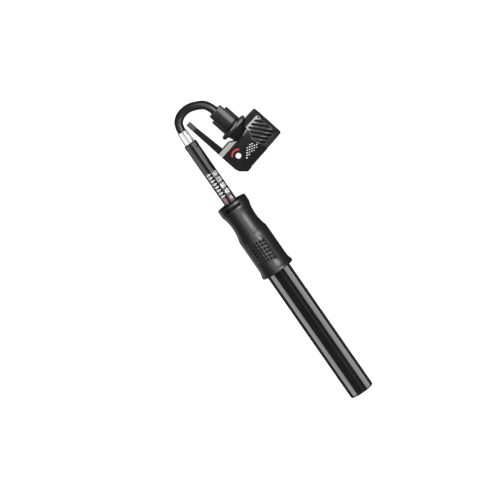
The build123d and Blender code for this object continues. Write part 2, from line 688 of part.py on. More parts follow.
PLUNGER_FOOT_Y = PIVOT[1] + LEVER_HUB_R + PASSING
PLUNGER_TOP_Y = GROMMET_FLOOR_Y - PLUNGER_TRAVEL - PASSING
PLUNGER_RING_Y = PLUNGER_TOP_Y - 3.0


def make_plunger():
    """The plunger that the lever's hub pushes up under the grommet."""
    plunger = along_y(CHAMBER_R - RUN_FIT, PLUNGER_FOOT_Y, PLUNGER_TOP_Y)
    half = PLUNGER_RING_MINOR_R + SNUG
    floor = CHAMBER_R - RUN_FIT - 2 * PLUNGER_RING_MINOR_R - SNUG
    plunger -= ring_y(CHAMBER_R + 1, floor, PLUNGER_RING_Y - half, PLUNGER_RING_Y + half)
    return plunger - along_y(GROMMET_PORT_R, PLUNGER_TOP_Y - 6.0, PLUNGER_TOP_Y + 1)


def make_plunger_seal():
    """The ring that seals the plunger in the head."""
    major = CHAMBER_R - RUN_FIT - PLUNGER_RING_MINOR_R
    return Pos(MOUTH_X, PLUNGER_RING_Y, 0) * Rot(-90, 0, 0) * Torus(major, PLUNGER_RING_MINOR_R)


def make_head_connector():
    """The flange and the two lock ears that close the grip's mouth when stowed."""
    flange = along_x(FLANGE_R, FLANGE_X[0], FLANGE_X[1] - SNUG)
    flange = chamfer(flange.edges().filter_by(GeomType.CIRCLE), FLANGE_EDGE)
    core = along_x(CORE_R, EAR_X[0], FLANGE_X[0])
    ears = along_x(EAR_R, EAR_X[0], EAR_X[1])
    ears &= block(EAR_X, (-EAR_R, EAR_R), (-EAR_WIDTH / 2, EAR_WIDTH / 2))
    connector = flange + core + ears
    half = CONNECTOR_RING_MINOR_R + SNUG
    floor = CORE_R + CONNECTOR_RING_PROUD - 2 * CONNECTOR_RING_MINOR_R
    connector -= ring_x(CORE_R + 1, floor, RING_GROOVE_X - half, RING_GROOVE_X + half)
    connector -= along_x(HOSE_BARB_STUD_R + SNUG, EAR_X[0] - 1, EAR_X[0] + HOSE_BARB_SOCKET)
    return connector - along_x(AIR_PORT_R, EAR_X[0], 0)


def make_connector_seal():
    """The ring by the flange that keeps water out of the mouth."""
    return o_ring_x(CORE_R + CONNECTOR_RING_PROUD + SNUG, CONNECTOR_RING_MINOR_R, RING_GROOVE_X)


def make_hose_collar():
    """The collar that the hose's upper end is held in."""
    collar = along_x(HOSE_COLLAR_R, COLLAR_MOUTH_X, EAR_X[0])
    collar = fillet(collar.edges().sort_by(Axis.X)[0], HOSE_COLLAR_EDGE)
    collar += along_x(HOSE_BARB_STUD_R, EAR_X[0], EAR_X[0] + HOSE_BARB_STUD)
    collar -= along_x(HOSE_R + HOSE_CLEARANCE, COLLAR_MOUTH_X - 1, COLLAR_MOUTH_X + HOSE_TUCK)
    return collar - along_x(AIR_PORT_R, COLLAR_MOUTH_X, 0)


# ---- The lever -------------------------------------------------------------------------
def make_lever():
    """The thumb lever: its arm, and the hub between the head's cheeks."""
    root_top = LEVER_FLOOR_Y + LEVER_ROOT_THICK
    outline = [
        (LEVER_TIP_X, LEVER_FLOOR_Y + 0.3),
        (LEVER_TIP_X, LEVER_FLOOR_Y + LEVER_TIP_THICK),
        (3.0, root_top),
        (PIVOT[0], root_top + 2.0),
        (PIVOT[0] + 4.5, LEVER_FLOOR_Y + 4.4),
        (PIVOT[0] + 2.0, LEVER_FLOOR_Y),
    ]
    lever = prism(outline, LEVER_HALF) + at_pivot(Cylinder(LEVER_HUB_R, 2 * LEVER_HALF))
    lever -= at_pivot(Cylinder(PIN_R + SNUG, 4 * LEVER_HALF))
    return lever - pad_block(SNUG)


def pad_block(clearance):
    """The thumb pad's block, or with a clearance the pocket that it fits."""
    x_range = (LEVER_TIP_X - 1, LEVER_TIP_X + PAD_LENGTH + clearance)
    floor = LEVER_FLOOR_Y + LEVER_TIP_THICK - PAD_DEPTH - clearance
    return block(x_range, (floor, floor + 2 * PAD_DEPTH), (-LEVER_HALF - 1, LEVER_HALF + 1))


def make_lever_pad():
    """The grey ribbed pad on the lever's tip."""
    start, end = LEVER_TIP_X, LEVER_TIP_X + PAD_LENGTH
    top = LEVER_FLOOR_Y + LEVER_TIP_THICK
    pad = block((start, end), (top - PAD_DEPTH, top + 0.3), (-LEVER_HALF, LEVER_HALF))
    return chamfer(pad.edges().filter_by(Axis.Z).sort_by(Axis.Y)[-2:], 0.3)


def make_lever_pin():
    """The bright pin that the lever turns on."""
    return at_pivot(Cylinder(PIN_R, 2 * BODY_HALF + 0.8))


def disc_z(depth):
    """The height of the middle of a slice that lies flush in the cheek."""
    return BODY_HALF - depth / 2


def mark_sector(clearance):
    """The red arc in a disc's face, or with a clearance the pocket that holds it."""
    start, end = MARK_ANGLES
    reach = 2 * DISC_R
    corners = [(0, 0)]
    for step in range(4):
        angle = math.radians(start + (end - start) * step / 3)
        corners.append((reach * math.cos(angle), reach * math.sin(angle)))
    wedge = prism(corners, BODY_HALF)
    ring = Cylinder(MARK_R[1] + clearance, MARK_DEPTH) - Cylinder(MARK_R[0] - clearance, MARK_DEPTH)
    return ring & wedge


def make_pivot_discs():
    """The two discs on the pin's ends, which turn with the lever in the cheeks."""
    disc = Cylinder(DISC_R, DISC_THICK - PASSING) - Cylinder(PIN_R + SNUG, 2 * DISC_THICK)
    offset = (DISC_THICK - PASSING - MARK_DEPTH) / 2
    disc -= Pos(0, 0, offset) * mark_sector(SNUG)
    disc_height = disc_z(DISC_THICK - PASSING)
    upper = at_pivot(disc, disc_height)
    return [upper, mirror(upper, Plane.XY)]


def make_lock_marks():
    """The red arcs in the discs that show which way the lever lies."""
    upper = at_pivot(mark_sector(0), disc_z(MARK_DEPTH))
    return [upper, mirror(upper, Plane.XY)]


# ---- Placing ---------------------------------------------------------------------------
def roll_angle():
    """The roll at which the cap's edge is as low as the skirt's."""
    reach = on_head(MOUTH_X, MOUTH_Y - MOUTH_RING_EDGE)[1]
    overhang = CAP_R - HEAD_RISE
    span = math.hypot(reach, overhang)
    return math.degrees(math.asin(SKIRT_R / span) - math.atan2(overhang, reach))


SEAT_X = (GRIP_LENGTH + PASSING + BARREL_END_X - BARREL_EDGE) / 2
PUMP_PLACE = Rot(-roll_angle(), 0, 0) * Pos(-SEAT_X, 0, 0)
HEAD_PLACE = PUMP_PLACE * Pos(HEAD_X, HEAD_Y, HEAD_RISE) * Rot(0, 0, HEAD_TURN)

PUMP_NODES = {
    "grip_shell": make_grip_shell,
    "skirt_bush": make_skirt_bush,
    "lock_collar": make_lock_collar,
    "lock_clip": make_lock_clip,
    "tube_retainer": make_tube_retainer,
    "piston_rod": make_piston_rod,
    "rod_clip": make_rod_clip,
    "piston_head": make_piston_head,
    "piston_seal": make_piston_seal,
    "piston_guide": make_piston_guide,
    "valve_ball": make_valve_ball,
    "valve_spring": make_valve_spring,
    "valve_retainer": make_valve_retainer,
    "barrel_tube": make_barrel_tube,
    "end_cap": make_end_cap,
    "end_cap_seal": make_end_cap_seal,
    "end_bumper": make_end_bumper,
    "gland_nut": make_gland_nut,
    "gland_wiper": make_gland_wiper,
    "gland_bumper": make_gland_bumper,
    "tube_carrier": make_tube_carrier,
    "tube_seal": make_tube_seal,
    "gauge_lens": make_gauge_lens,
    "gauge_foot": make_gauge_foot,
    "air_tube": make_air_tube,
    "scale_sleeve": make_scale_sleeve,
    "tube_cap": make_tube_cap,
    "tube_cap_seal": make_tube_cap_seal,
    "hose_ferrule": make_hose_ferrule,
    "gauge_indicator": make_gauge_indicator,
    "gauge_spring": make_gauge_spring,
    "hose": make_hose,
}

HEAD_NODES = {
    "head_body": make_head_body,
    "head_sleeve": make_head_sleeve,
    "mouth_ring": make_mouth_ring,
    "valve_grommet": make_valve_grommet,
    "plunger": make_plunger,
    "plunger_seal": make_plunger_seal,
    "head_connector": make_head_connector,
    "connector_seal": make_connector_seal,
    "hose_collar": make_hose_collar,
    "lever": make_lever,
    "lever_pad": make_lever_pad,
    "lever_pin": make_lever_pin,
    "pivot_discs": make_pivot_discs,
    "lock_marks": make_lock_marks,
}


def write_nodes(makers, place):
    """Writes one STEP file for each node, in its place."""
    for name, make in makers.items():
        made = make()
        pieces = made if isinstance(made, list) else [made]
        solids = [place * solid for piece in pieces for solid in piece.solids()]
        export_step(solids[0] if len(solids) == 1 else Compound(children=solids), f"parts/{name}.step")


os.makedirs("parts", exist_ok=True)
write_nodes(PUMP_NODES, PUMP_PLACE)
write_nodes(HEAD_NODES, HEAD_PLACE)
print("roll", round(roll_angle(), 3), "seat x", round(SEAT_X, 3))
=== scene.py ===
"""The looks of a bicycle mini pump with a pull-out gauge, a short hose and a lever head."""

import json
import logging
import math
from collections.abc import Iterable
from dataclasses import dataclass, field
from enum import Enum

import bmesh
import bpy
from mathutils import Matrix, Vector
from mathutils.bvhtree import BVHTree

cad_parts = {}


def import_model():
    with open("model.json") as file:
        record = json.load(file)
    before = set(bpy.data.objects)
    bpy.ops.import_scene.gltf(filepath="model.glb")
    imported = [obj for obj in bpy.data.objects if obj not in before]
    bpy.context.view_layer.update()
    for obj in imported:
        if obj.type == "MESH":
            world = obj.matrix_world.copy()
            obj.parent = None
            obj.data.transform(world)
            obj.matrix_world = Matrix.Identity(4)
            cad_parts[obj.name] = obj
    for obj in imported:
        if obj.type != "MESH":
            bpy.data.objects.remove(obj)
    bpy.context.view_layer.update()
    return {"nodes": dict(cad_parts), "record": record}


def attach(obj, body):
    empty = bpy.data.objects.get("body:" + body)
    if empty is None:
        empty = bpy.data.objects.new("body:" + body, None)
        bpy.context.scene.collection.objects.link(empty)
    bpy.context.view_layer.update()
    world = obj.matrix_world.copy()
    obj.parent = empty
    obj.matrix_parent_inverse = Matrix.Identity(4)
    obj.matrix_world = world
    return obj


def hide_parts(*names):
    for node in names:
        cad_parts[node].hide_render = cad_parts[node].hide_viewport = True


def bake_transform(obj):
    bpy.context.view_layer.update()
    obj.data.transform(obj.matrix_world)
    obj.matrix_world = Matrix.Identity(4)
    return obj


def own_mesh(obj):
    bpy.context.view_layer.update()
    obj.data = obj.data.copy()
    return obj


LOG = logging.getLogger("mini_pump")
MM = 0.001
WELD = 1e-4  # vertices nearer than this, in millimetres, are one


# ---- Where things are -------------------------------------------------------------------
@dataclass(frozen=True)
class Layout:
    """The pump's own axes and the head's, in millimetres and degrees.

    The pump's X runs from the mouth of the grip to the closed end of the barrel, Y to
    the side of the head. The head's X runs along its connector, Y towards the mouth.
    """

    roll: float = 10.114
    seat_x: float = 140.05
    head_origin: tuple[float, float, float] = (-52.3, 40.4, 12.0)
    head_turn: float = 13.65

    def pump(self) -> Matrix:
        """Gives the matrix from the pump's millimetres to metres in the row frame."""
        roll = Matrix.Rotation(-math.radians(self.roll), 4, "X")
        return Matrix.Scale(MM, 4) @ roll @ Matrix.Translation((-self.seat_x, 0, 0))

    def head(self) -> Matrix:
        """Gives the matrix from the head's millimetres to metres in the row frame."""
        turn = Matrix.Rotation(math.radians(self.head_turn), 4, "Z")
        return self.pump() @ Matrix.Translation(self.head_origin) @ turn


LAYOUT = Layout()


def smooth_step(low: float, high: float, value: float) -> float:
    """Rises smoothly from 0 to 1 between two values.

    Args:
        low: Where the rise starts.
        high: Where it ends.
        value: The place to read.

    Returns:
        The height, from 0 to 1.
    """
    t = min(1.0, max(0.0, (value - low) / (high - low)))
    return t * t * (3 - 2 * t)


# ---- Finishes ---------------------------------------------------------------------------
class Texture(Enum):
    """The fine surface of a finish."""

    GRAIN = "grain"
    TURNED = "turned"
    CLEAN = "clean"
    FIBRE = "fibre"


STRETCH = {Texture.TURNED: (1.0, 0.02, 0.02), Texture.FIBRE: (0.3, 1.0, 1.0)}
FINE_DETAIL = 3.0
BROAD_DETAIL = 2.0
BROAD_PATCH = 14.0  # the size of a colour's broad patches, in millimetres
NOISE_SPAN = (0.25, 0.75)  # nearly all of a noise's values lie between these
CONVEX_SPAN = (0.55, 0.68)  # the pointiness of a soft edge and of a sharp one
LEAST_ROUGHNESS = 0.02
SHEEN_ROUGHNESS = 0.4
BUMP_STEP = 0.01  # millimetres for one unit of a finish's bump
RUBBED_GREY = (0.22, 0.22, 0.22, 1.0)
# painted shade: the near-black that marked recesses and shaded places are moved towards
PAINTED_SHADE_BLACK = (0.0008, 0.0008, 0.0008, 1.0)


@dataclass
class NodeBench:
    """One material's nodes and links, and the groups of nodes that the finishes share."""

    nodes: bpy.types.Nodes
    links: bpy.types.NodeLinks

    def stretch(
        self, place: bpy.types.NodeSocket, scale: tuple[float, float, float]
    ) -> bpy.types.NodeSocket:
        """Draws a pattern out along the pump's axes.

        Args:
            place: The pattern's coordinates.
            scale: How fast the pattern runs along each axis.

        Returns:
            The drawn-out coordinates.
        """
        mapping = self.nodes.new("ShaderNodeMapping")
        mapping.inputs["Scale"].default_value = scale
        self.links.new(place, mapping.inputs["Vector"])
        return mapping.outputs["Vector"]

    def noise(self, place: bpy.types.NodeSocket, size: float, detail: float) -> bpy.types.NodeSocket:
        """Adds a noise.

        Args:
            place: The noise's coordinates.
            size: The size of its grains, in millimetres.
            detail: How much finer noise it holds.

        Returns:
            The noise's value.
        """
        noise = self.nodes.new("ShaderNodeTexNoise")
        noise.inputs["Scale"].default_value = 1.0 / (size * MM)
        noise.inputs["Detail"].default_value = detail
        self.links.new(place, noise.inputs["Vector"])
        return noise.outputs["Fac"]

    def spread(
        self, value: bpy.types.NodeSocket, span: tuple[float, float], low: float, high: float
    ) -> bpy.types.NodeSocket:
        """Maps a span of values onto the room between two numbers.

        Args:
            value: The value that is mapped.
            span: The values that give the two numbers.
            low: The number at the span's start.
            high: The number at its end.

        Returns:
            The mapped value.
        """
        room = self.nodes.new("ShaderNodeMapRange")
        room.inputs["From Min"].default_value = span[0]
        room.inputs["From Max"].default_value = span[1]
        room.inputs["To Min"].default_value = low
        room.inputs["To Max"].default_value = high
        self.links.new(value, room.inputs["Value"])
        return room.outputs["Result"]

    def tint(
        self, colour: tuple[float, float, float], strength: bpy.types.NodeSocket
    ) -> bpy.types.NodeSocket:
        """Multiplies a colour by a value.

        Args:
            colour: The colour.
            strength: The value.

        Returns:
            The changed colour.
        """
        mix = self.nodes.new("ShaderNodeMix")
        mix.data_type = "RGBA"
        mix.blend_type = "MULTIPLY"
        mix.inputs["Factor"].default_value = 1.0
        mix.inputs["A"].default_value = (*colour, 1.0)
        self.links.new(strength, mix.inputs["B"])
        return mix.outputs["Result"]

    def move(
        self,
        value: bpy.types.NodeSocket,
        share: bpy.types.NodeSocket,
        goal: tuple[float, float, float, float] | float,
    ) -> bpy.types.NodeSocket:
        """Moves a colour or a number towards a fixed one.

        Args:
            value: The colour or the number.
            share: How far it moves, from 0 to 1.
            goal: The fixed colour or number.

        Returns:
            The moved colour or number.
        """
        mix = self.nodes.new("ShaderNodeMix")
        if isinstance(goal, tuple):
            mix.data_type = "RGBA"
        self.links.new(share, mix.inputs["Factor"])
        self.links.new(value, mix.inputs["A"])
        mix.inputs["B"].default_value = goal
        return mix.outputs["Result"]

    def rubbed(self, fine: bpy.types.NodeSocket, wear: float) -> bpy.types.NodeSocket:
        """Finds the convex edges, which hands rub.

        Args:
            fine: The fine noise that breaks the wear up.
            wear: The wear of a sharp edge, from 0 to 1.

        Returns:
            How much each place is rubbed.
        """
        geometry = self.nodes.new("ShaderNodeNewGeometry")
        edge = self.spread(geometry.outputs["Pointiness"], CONVEX_SPAN, 0.0, wear)
        share = self.nodes.new("ShaderNodeMath")
        share.operation = "MULTIPLY"
        self.links.new(edge, share.inputs[0])
        self.links.new(fine, share.inputs[1])
        return share.outputs["Value"]

    def attribute(self, name: str) -> bpy.types.NodeSocket:
        """Reads one of the mesh's own attributes.

        Args:
            name: The attribute's name.

        Returns:
            Its value.
        """
        attribute = self.nodes.new("ShaderNodeAttribute")
        attribute.attribute_name = name
        return attribute.outputs["Fac"]


@dataclass(frozen=True)
class Finish:
    """One material: its colour, its gloss, its fine surface and the painted shade that its mesh may
    mark.

    Grain sizes are in millimetres and bump heights in hundredths of a millimetre.
    """

    name: str
    colour: tuple[float, float, float]
    roughness: float
    metallic: float = 0.0
    texture: Texture = Texture.GRAIN
    grain: float = 0.45
    bump: float = 1.0
    variation: float = 0.18
    gloss_change: float = 0.06
    ior: float = 1.5
    specular: float = 0.5
    coat: float = 0.0
    coat_roughness: float = 0.05
    sheen: float = 0.0
    wear: float = 0.0
    transmission: float = 0.0
    painted_shade: str = ""

    def make(self) -> bpy.types.Material:
        """Makes the material's nodes.

        Returns:
            The finished material.
        """
        material = bpy.data.materials.new(self.name)
        material.use_nodes = True
        bench = NodeBench(material.node_tree.nodes, material.node_tree.links)
        shader = bench.nodes["Principled BSDF"]
        settings = {
            "Metallic": self.metallic,
            "IOR": self.ior,
            "Specular IOR Level": self.specular,
            "Coat Weight": self.coat,
            "Coat Roughness": self.coat_roughness,
            "Sheen Weight": self.sheen,
            "Sheen Roughness": SHEEN_ROUGHNESS,
            "Transmission Weight": self.transmission,
        }
        for socket, value in settings.items():
            shader.inputs[socket].default_value = value
        place = bench.nodes.new("ShaderNodeTexCoord").outputs["Object"]
        if self.texture in STRETCH:
            place = bench.stretch(place, STRETCH[self.texture])
        fine = bench.noise(place, self.grain, FINE_DETAIL)
        broad = bench.noise(place, BROAD_PATCH, BROAD_DETAIL)
        strength = bench.spread(broad, NOISE_SPAN, 1 - self.variation, 1 + self.variation)
        colour = bench.tint(self.colour, strength)
        low = max(LEAST_ROUGHNESS, self.roughness - self.gloss_change)
        gloss = bench.spread(fine, NOISE_SPAN, low, self.roughness + self.gloss_change)
        if self.wear > 0:
            colour = bench.move(colour, bench.rubbed(fine, self.wear), RUBBED_GREY)
        # painted shade: marked places are darkened towards near-black and made fully rough, so they lose
        # their highlights
        if self.painted_shade:
            depth = bench.attribute(self.painted_shade)
            colour = bench.move(colour, depth, PAINTED_SHADE_BLACK)
            gloss = bench.move(gloss, depth, 1.0)
        bench.links.new(colour, shader.inputs["Base Color"])
        bench.links.new(gloss, shader.inputs["Roughness"])
        if self.texture is not Texture.CLEAN and self.bump > 0:
            bump = bench.nodes.new("ShaderNodeBump")
            bump.inputs["Strength"].default_value = 1.0
            bump.inputs["Distance"].default_value = self.bump * BUMP_STEP * MM
            bench.links.new(fine, bump.inputs["Height"])
            bench.links.new(bump.outputs["Normal"], shader.inputs["Normal"])
        return material


BLACK = (0.008, 0.008, 0.0085)
PAINTED_SHADE = "painted_shade"  # the mesh attribute that holds each vertex's share of painted shade
FINISHES = {
    "grip_rubber": Finish(
        "satin_grip_rubber",
        (0.0045, 0.0045, 0.0048),
        0.38,
        grain=0.3,
        bump=0.7,
        wear=0.12,
        painted_shade=PAINTED_SHADE,
    ),
    "black_plastic": Finish("black_moulded_plastic", BLACK, 0.38, grain=0.35, bump=0.7),
    "dark_clip": Finish(
        "dark_spring_clip", (0.035, 0.03, 0.03), 0.3, metallic=0.6, texture=Texture.TURNED
    ),
    "bare_aluminium": Finish(
        "turned_aluminium", (0.72, 0.72, 0.73), 0.25, metallic=1.0, texture=Texture.TURNED
    ),
    "spring_steel": Finish(
        "spring_steel", (0.45, 0.45, 0.46), 0.25, metallic=1.0, texture=Texture.CLEAN
    ),
    "seal_rubber": Finish("seal_rubber", (0.018, 0.018, 0.018), 0.5, bump=0.4),
    "pale_plastic": Finish("pale_slide_plastic", (0.62, 0.60, 0.55), 0.4, bump=0.5),
    "brass": Finish("turned_brass", (0.66, 0.47, 0.2), 0.25, metallic=1.0, texture=Texture.TURNED),
    "barrel_black": Finish(
        "gloss_black_barrel",
        (0.005, 0.005, 0.005),
        0.13,
        texture=Texture.CLEAN,
        gloss_change=0.02,
        coat=0.25,
    ),
    "felt": Finish("oiled_felt", (0.3, 0.28, 0.25), 0.9, texture=Texture.FIBRE, bump=6, sheen=0.3),
    "gauge_lens": Finish(
        "smoked_gloss_tube", (0.006, 0.006, 0.006), 0.12, texture=Texture.CLEAN, gloss_change=0.02
    ),
    "scale_black": Finish("black_scale_sleeve", (0.014, 0.014, 0.015), 0.3, bump=0.3),
    "gloss_black": Finish("gloss_black_plastic", (0.01, 0.01, 0.01), 0.2, texture=Texture.CLEAN),
    "ferrule_metal": Finish(
        "bright_ferrule",
        (0.9, 0.9, 0.91),
        0.3,
        metallic=1.0,
        texture=Texture.TURNED,
        bump=0.3,
        variation=0.04,
    ),
    "hose_rubber": Finish("hose_rubber", (0.006, 0.006, 0.0065), 0.36, grain=0.25, bump=0.6),
    "indicator_red": Finish("red_indicator", (0.40, 0.022, 0.04), 0.35, bump=0.3),
    "head_black": Finish("head_black_plastic", (0.015, 0.015, 0.0155), 0.28, grain=0.3, bump=0.5),
    "sleeve_black": Finish(
        "sleeve_black_plastic", (0.024, 0.024, 0.0245), 0.26, grain=0.3, bump=0.4, painted_shade=PAINTED_SHADE
    ),
    "collar_grey": Finish("grey_collar_plastic", (0.016, 0.016, 0.0165), 0.3, bump=0.6),
    "pad_grey": Finish("grey_thumb_pad", (0.07, 0.07, 0.07), 0.5, bump=1.0),
    "pin_steel": Finish(
        "bright_pin",
        (0.86, 0.86, 0.87),
        0.3,
        metallic=0.1,
        texture=Texture.CLEAN,
        variation=0.03,
    ),
    "mark_red": Finish("red_lock_mark", (0.5, 0.045, 0.03), 0.3, bump=0.3),
}
CLEAR_WINDOW = Finish(
    "clear_gauge_window",
    (0.97, 0.98, 0.98),
    0.04,
    texture=Texture.CLEAN,
    variation=0.0,
    gloss_change=0.01,
    transmission=1.0,
)
PRINT_WHITE = Finish("white_scale_print", (0.60, 0.61, 0.60), 0.45, bump=0.2, variation=0.05)
BUMP_WHITE = Finish("pale_dot_print", (0.85, 0.85, 0.85), 0.4, bump=0.2, variation=0.05)
STUDIO_FLOOR = Finish("pale_studio_floor", (0.9, 0.9, 0.9), 0.8, texture=Texture.CLEAN, variation=0.01)


class Paintbox:
    """The materials, made once each."""

    def __init__(self) -> None:
        """Starts with nothing made."""
        self.made: dict[str, bpy.types.Material] = {}

    def get(self, finish: Finish) -> bpy.types.Material:
        """Gives a finish's material, which it makes the first time.

        Args:
            finish: The finish.

        Returns:
            The material.
        """
        if finish.name not in self.made:
            self.made[finish.name] = finish.make()
        return self.made[finish.name]

    def slot(self, slot: str) -> bpy.types.Material:
        """Gives the material of one of the record's slots."""
        return self.get(FINISHES[slot])


# ---- Mesh tools -------------------------------------------------------------------------
@dataclass
class Workshop:
    """What every sub-assembly needs: the materials, and how a mesh becomes a piece."""

    paints: Paintbox

    def piece(
        self,
        name: str,
        bm: bmesh.types.BMesh,
        place: Matrix,
        material: bpy.types.Material,
        body: str,
        slot: str,
        smooth: bool = True,
        sharp: float = 35.0,
    ) -> bpy.types.Object:
        """Turns a bmesh into a piece that rides on a body.

        Args:
            name: The piece's name.
            bm: Its mesh, which is freed.
            place: The matrix to the row frame.
            material: Its material.
            body: The CAD body that it rides on.
            slot: The record's material slot; not used.
            smooth: Whether its faces are shaded smoothly.
            sharp: The angle in degrees past which an edge stays sharp.

        Returns:
            The new object.
        """
        bm.transform(place)
        for face in bm.faces:
            face.smooth = smooth
        for edge in bm.edges:
            if len(edge.link_faces) == 2 and edge.calc_face_angle(0) > math.radians(sharp):
                edge.smooth = False
        mesh = bpy.data.meshes.new(name)
        bm.to_mesh(mesh)
        bm.free()
        mesh.materials.append(material)
        made = bpy.data.objects.new(name, mesh)
        bpy.context.scene.collection.objects.link(made)
        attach(made, body)
        LOG.info("%s rides on %s", name, body)
        return made

    def turned(
        self, profile: Iterable[tuple[float, float]], steps: int, closed: bool = True
    ) -> bmesh.types.BMesh:
        """Spins an outline about the X axis.

        Args:
            profile: Points as (x, radius).
            steps: The number of steps round.
            closed: Whether the outline closes on itself.

        Returns:
            The turned mesh, with its faces pointing outwards.
        """
        bm = bmesh.new()
        points = [bm.verts.new((x, 0, radius)) for x, radius in profile]
        edges = [bm.edges.new(pair) for pair in zip(points, points[1:])]
        if closed:
            edges.append(bm.edges.new((points[-1], points[0])))
        bmesh.ops.spin(
            bm,
            geom=points + edges,
            cent=(0, 0, 0),
            axis=(1, 0, 0),
            angle=math.tau,
            steps=steps,
            use_merge=True,
        )
        bmesh.ops.remove_doubles(bm, verts=bm.verts, dist=WELD)
        bmesh.ops.recalc_face_normals(bm, faces=bm.faces)
        return bm

    def rounded_bar(self, size: tuple[float, float, float], edge: float, cuts: int) -> bmesh.types.BMesh:
        """Makes a bar with rounded edges, centred, that can be bent along X.

        Args:
            size: Its three lengths.
            edge: The radius of its edges.
            cuts: How many cuts cross its length.

        Returns:
            The bar's mesh.
        """
        bm = bmesh.new()
        bmesh.ops.create_cube(bm, size=1.0)
        bmesh.ops.scale(bm, vec=size, verts=bm.verts)
        bmesh.ops.bevel(
            bm, geom=bm.edges[:], offset=edge, segments=2, profile=0.5, affect="EDGES", material=-1
        )
        if cuts:
            reach = size[0] / 2 - edge
            for step in range(1, cuts + 1):
                x = -reach + 2 * reach * step / (cuts + 1)
                whole = bm.verts[:] + bm.edges[:] + bm.faces[:]
                bmesh.ops.bisect_plane(bm, geom=whole, plane_co=(x, 0, 0), plane_no=(1, 0, 0))
        return bm


def absorb(target: bmesh.types.BMesh, part: bmesh.types.BMesh) -> None:
    """Adds one mesh to another and frees it.

    Args:
        target: The mesh that grows.
        part: The mesh that is added.
    """
    mesh = bpy.data.meshes.new("passing")
    part.to_mesh(mesh)
    part.free()
    target.from_mesh(mesh)
    bpy.data.meshes.remove(mesh)


# ---- The hose ---------------------------------------------------------------------------
@dataclass
class Hose:
    """The short rubber hose from the ferrule to the head's collar, in metres."""

    shop: Workshop
    radius: float = 0.004
    length: float = 0.0572
    steps_along: int = 16
    steps_round: int = 8
    route: tuple[tuple[float, float, float], ...] = (
        (-0.21430, 0.0, 0.0),
        (-0.22335, 0.0, 0.0),
        (-0.22975, 0.00685, 0.00081),
        (-0.23165, 0.01611, 0.00261),
        (-0.22945, 0.02511, 0.00466),
        (-0.22422, 0.03426, 0.00608),
        (-0.21402, 0.03670, 0.00564),
    )

    def curve(self, bevel: float) -> bpy.types.Object:
        """Makes the route's spline.

        Args:
            bevel: The tube's radius, or 0 for the bare line.

        Returns:
            The curve object.
        """
        data = bpy.data.curves.new("hose_line", "CURVE")
        data.dimensions = "3D"
        data.resolution_u = self.steps_along
        data.bevel_depth = bevel
        data.bevel_resolution = self.steps_round
        data.use_fill_caps = bevel > 0
        spline = data.splines.new("NURBS")
        spline.points.add(len(self.route) - 1)
        for point, place in zip(spline.points, self.route):
            point.co = (*place, 1.0)
        spline.order_u = 3
        spline.use_endpoint_u = True
        line = bpy.data.objects.new("hose_line", data)
        bpy.context.scene.collection.objects.link(line)
        return line

    def mesh_of(self, bevel: float) -> bpy.types.Mesh:
        """Gives the spline, or the tube round it, as a mesh.

        Args:
            bevel: The tube's radius, or 0 for the bare line.

        Returns:
            The mesh.
        """
        line = self.curve(bevel)
        bpy.context.view_layer.update()
        mesh = bpy.data.meshes.new_from_object(line)
        data = line.data
        bpy.data.objects.remove(line)
        bpy.data.curves.remove(data)
        return mesh

    def build(self) -> bpy.types.Object:
        """Makes the hose along its route from the gauge tube to the head.

        Returns:
            The finished piece.
        """
        line = self.mesh_of(0.0)
        tube = self.mesh_of(self.radius)
        tube.materials.clear()
        tube.materials.append(self.shop.paints.slot("hose_rubber"))
        for polygon in tube.polygons:
            polygon.use_smooth = True
        hose = bpy.data.objects.new("rubber_hose", tube)
        bpy.context.scene.collection.objects.link(hose)
        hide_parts("hose")
        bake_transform(hose)
        LOG.info("rubber_hose bends between gauge_tube and head")
        return hose


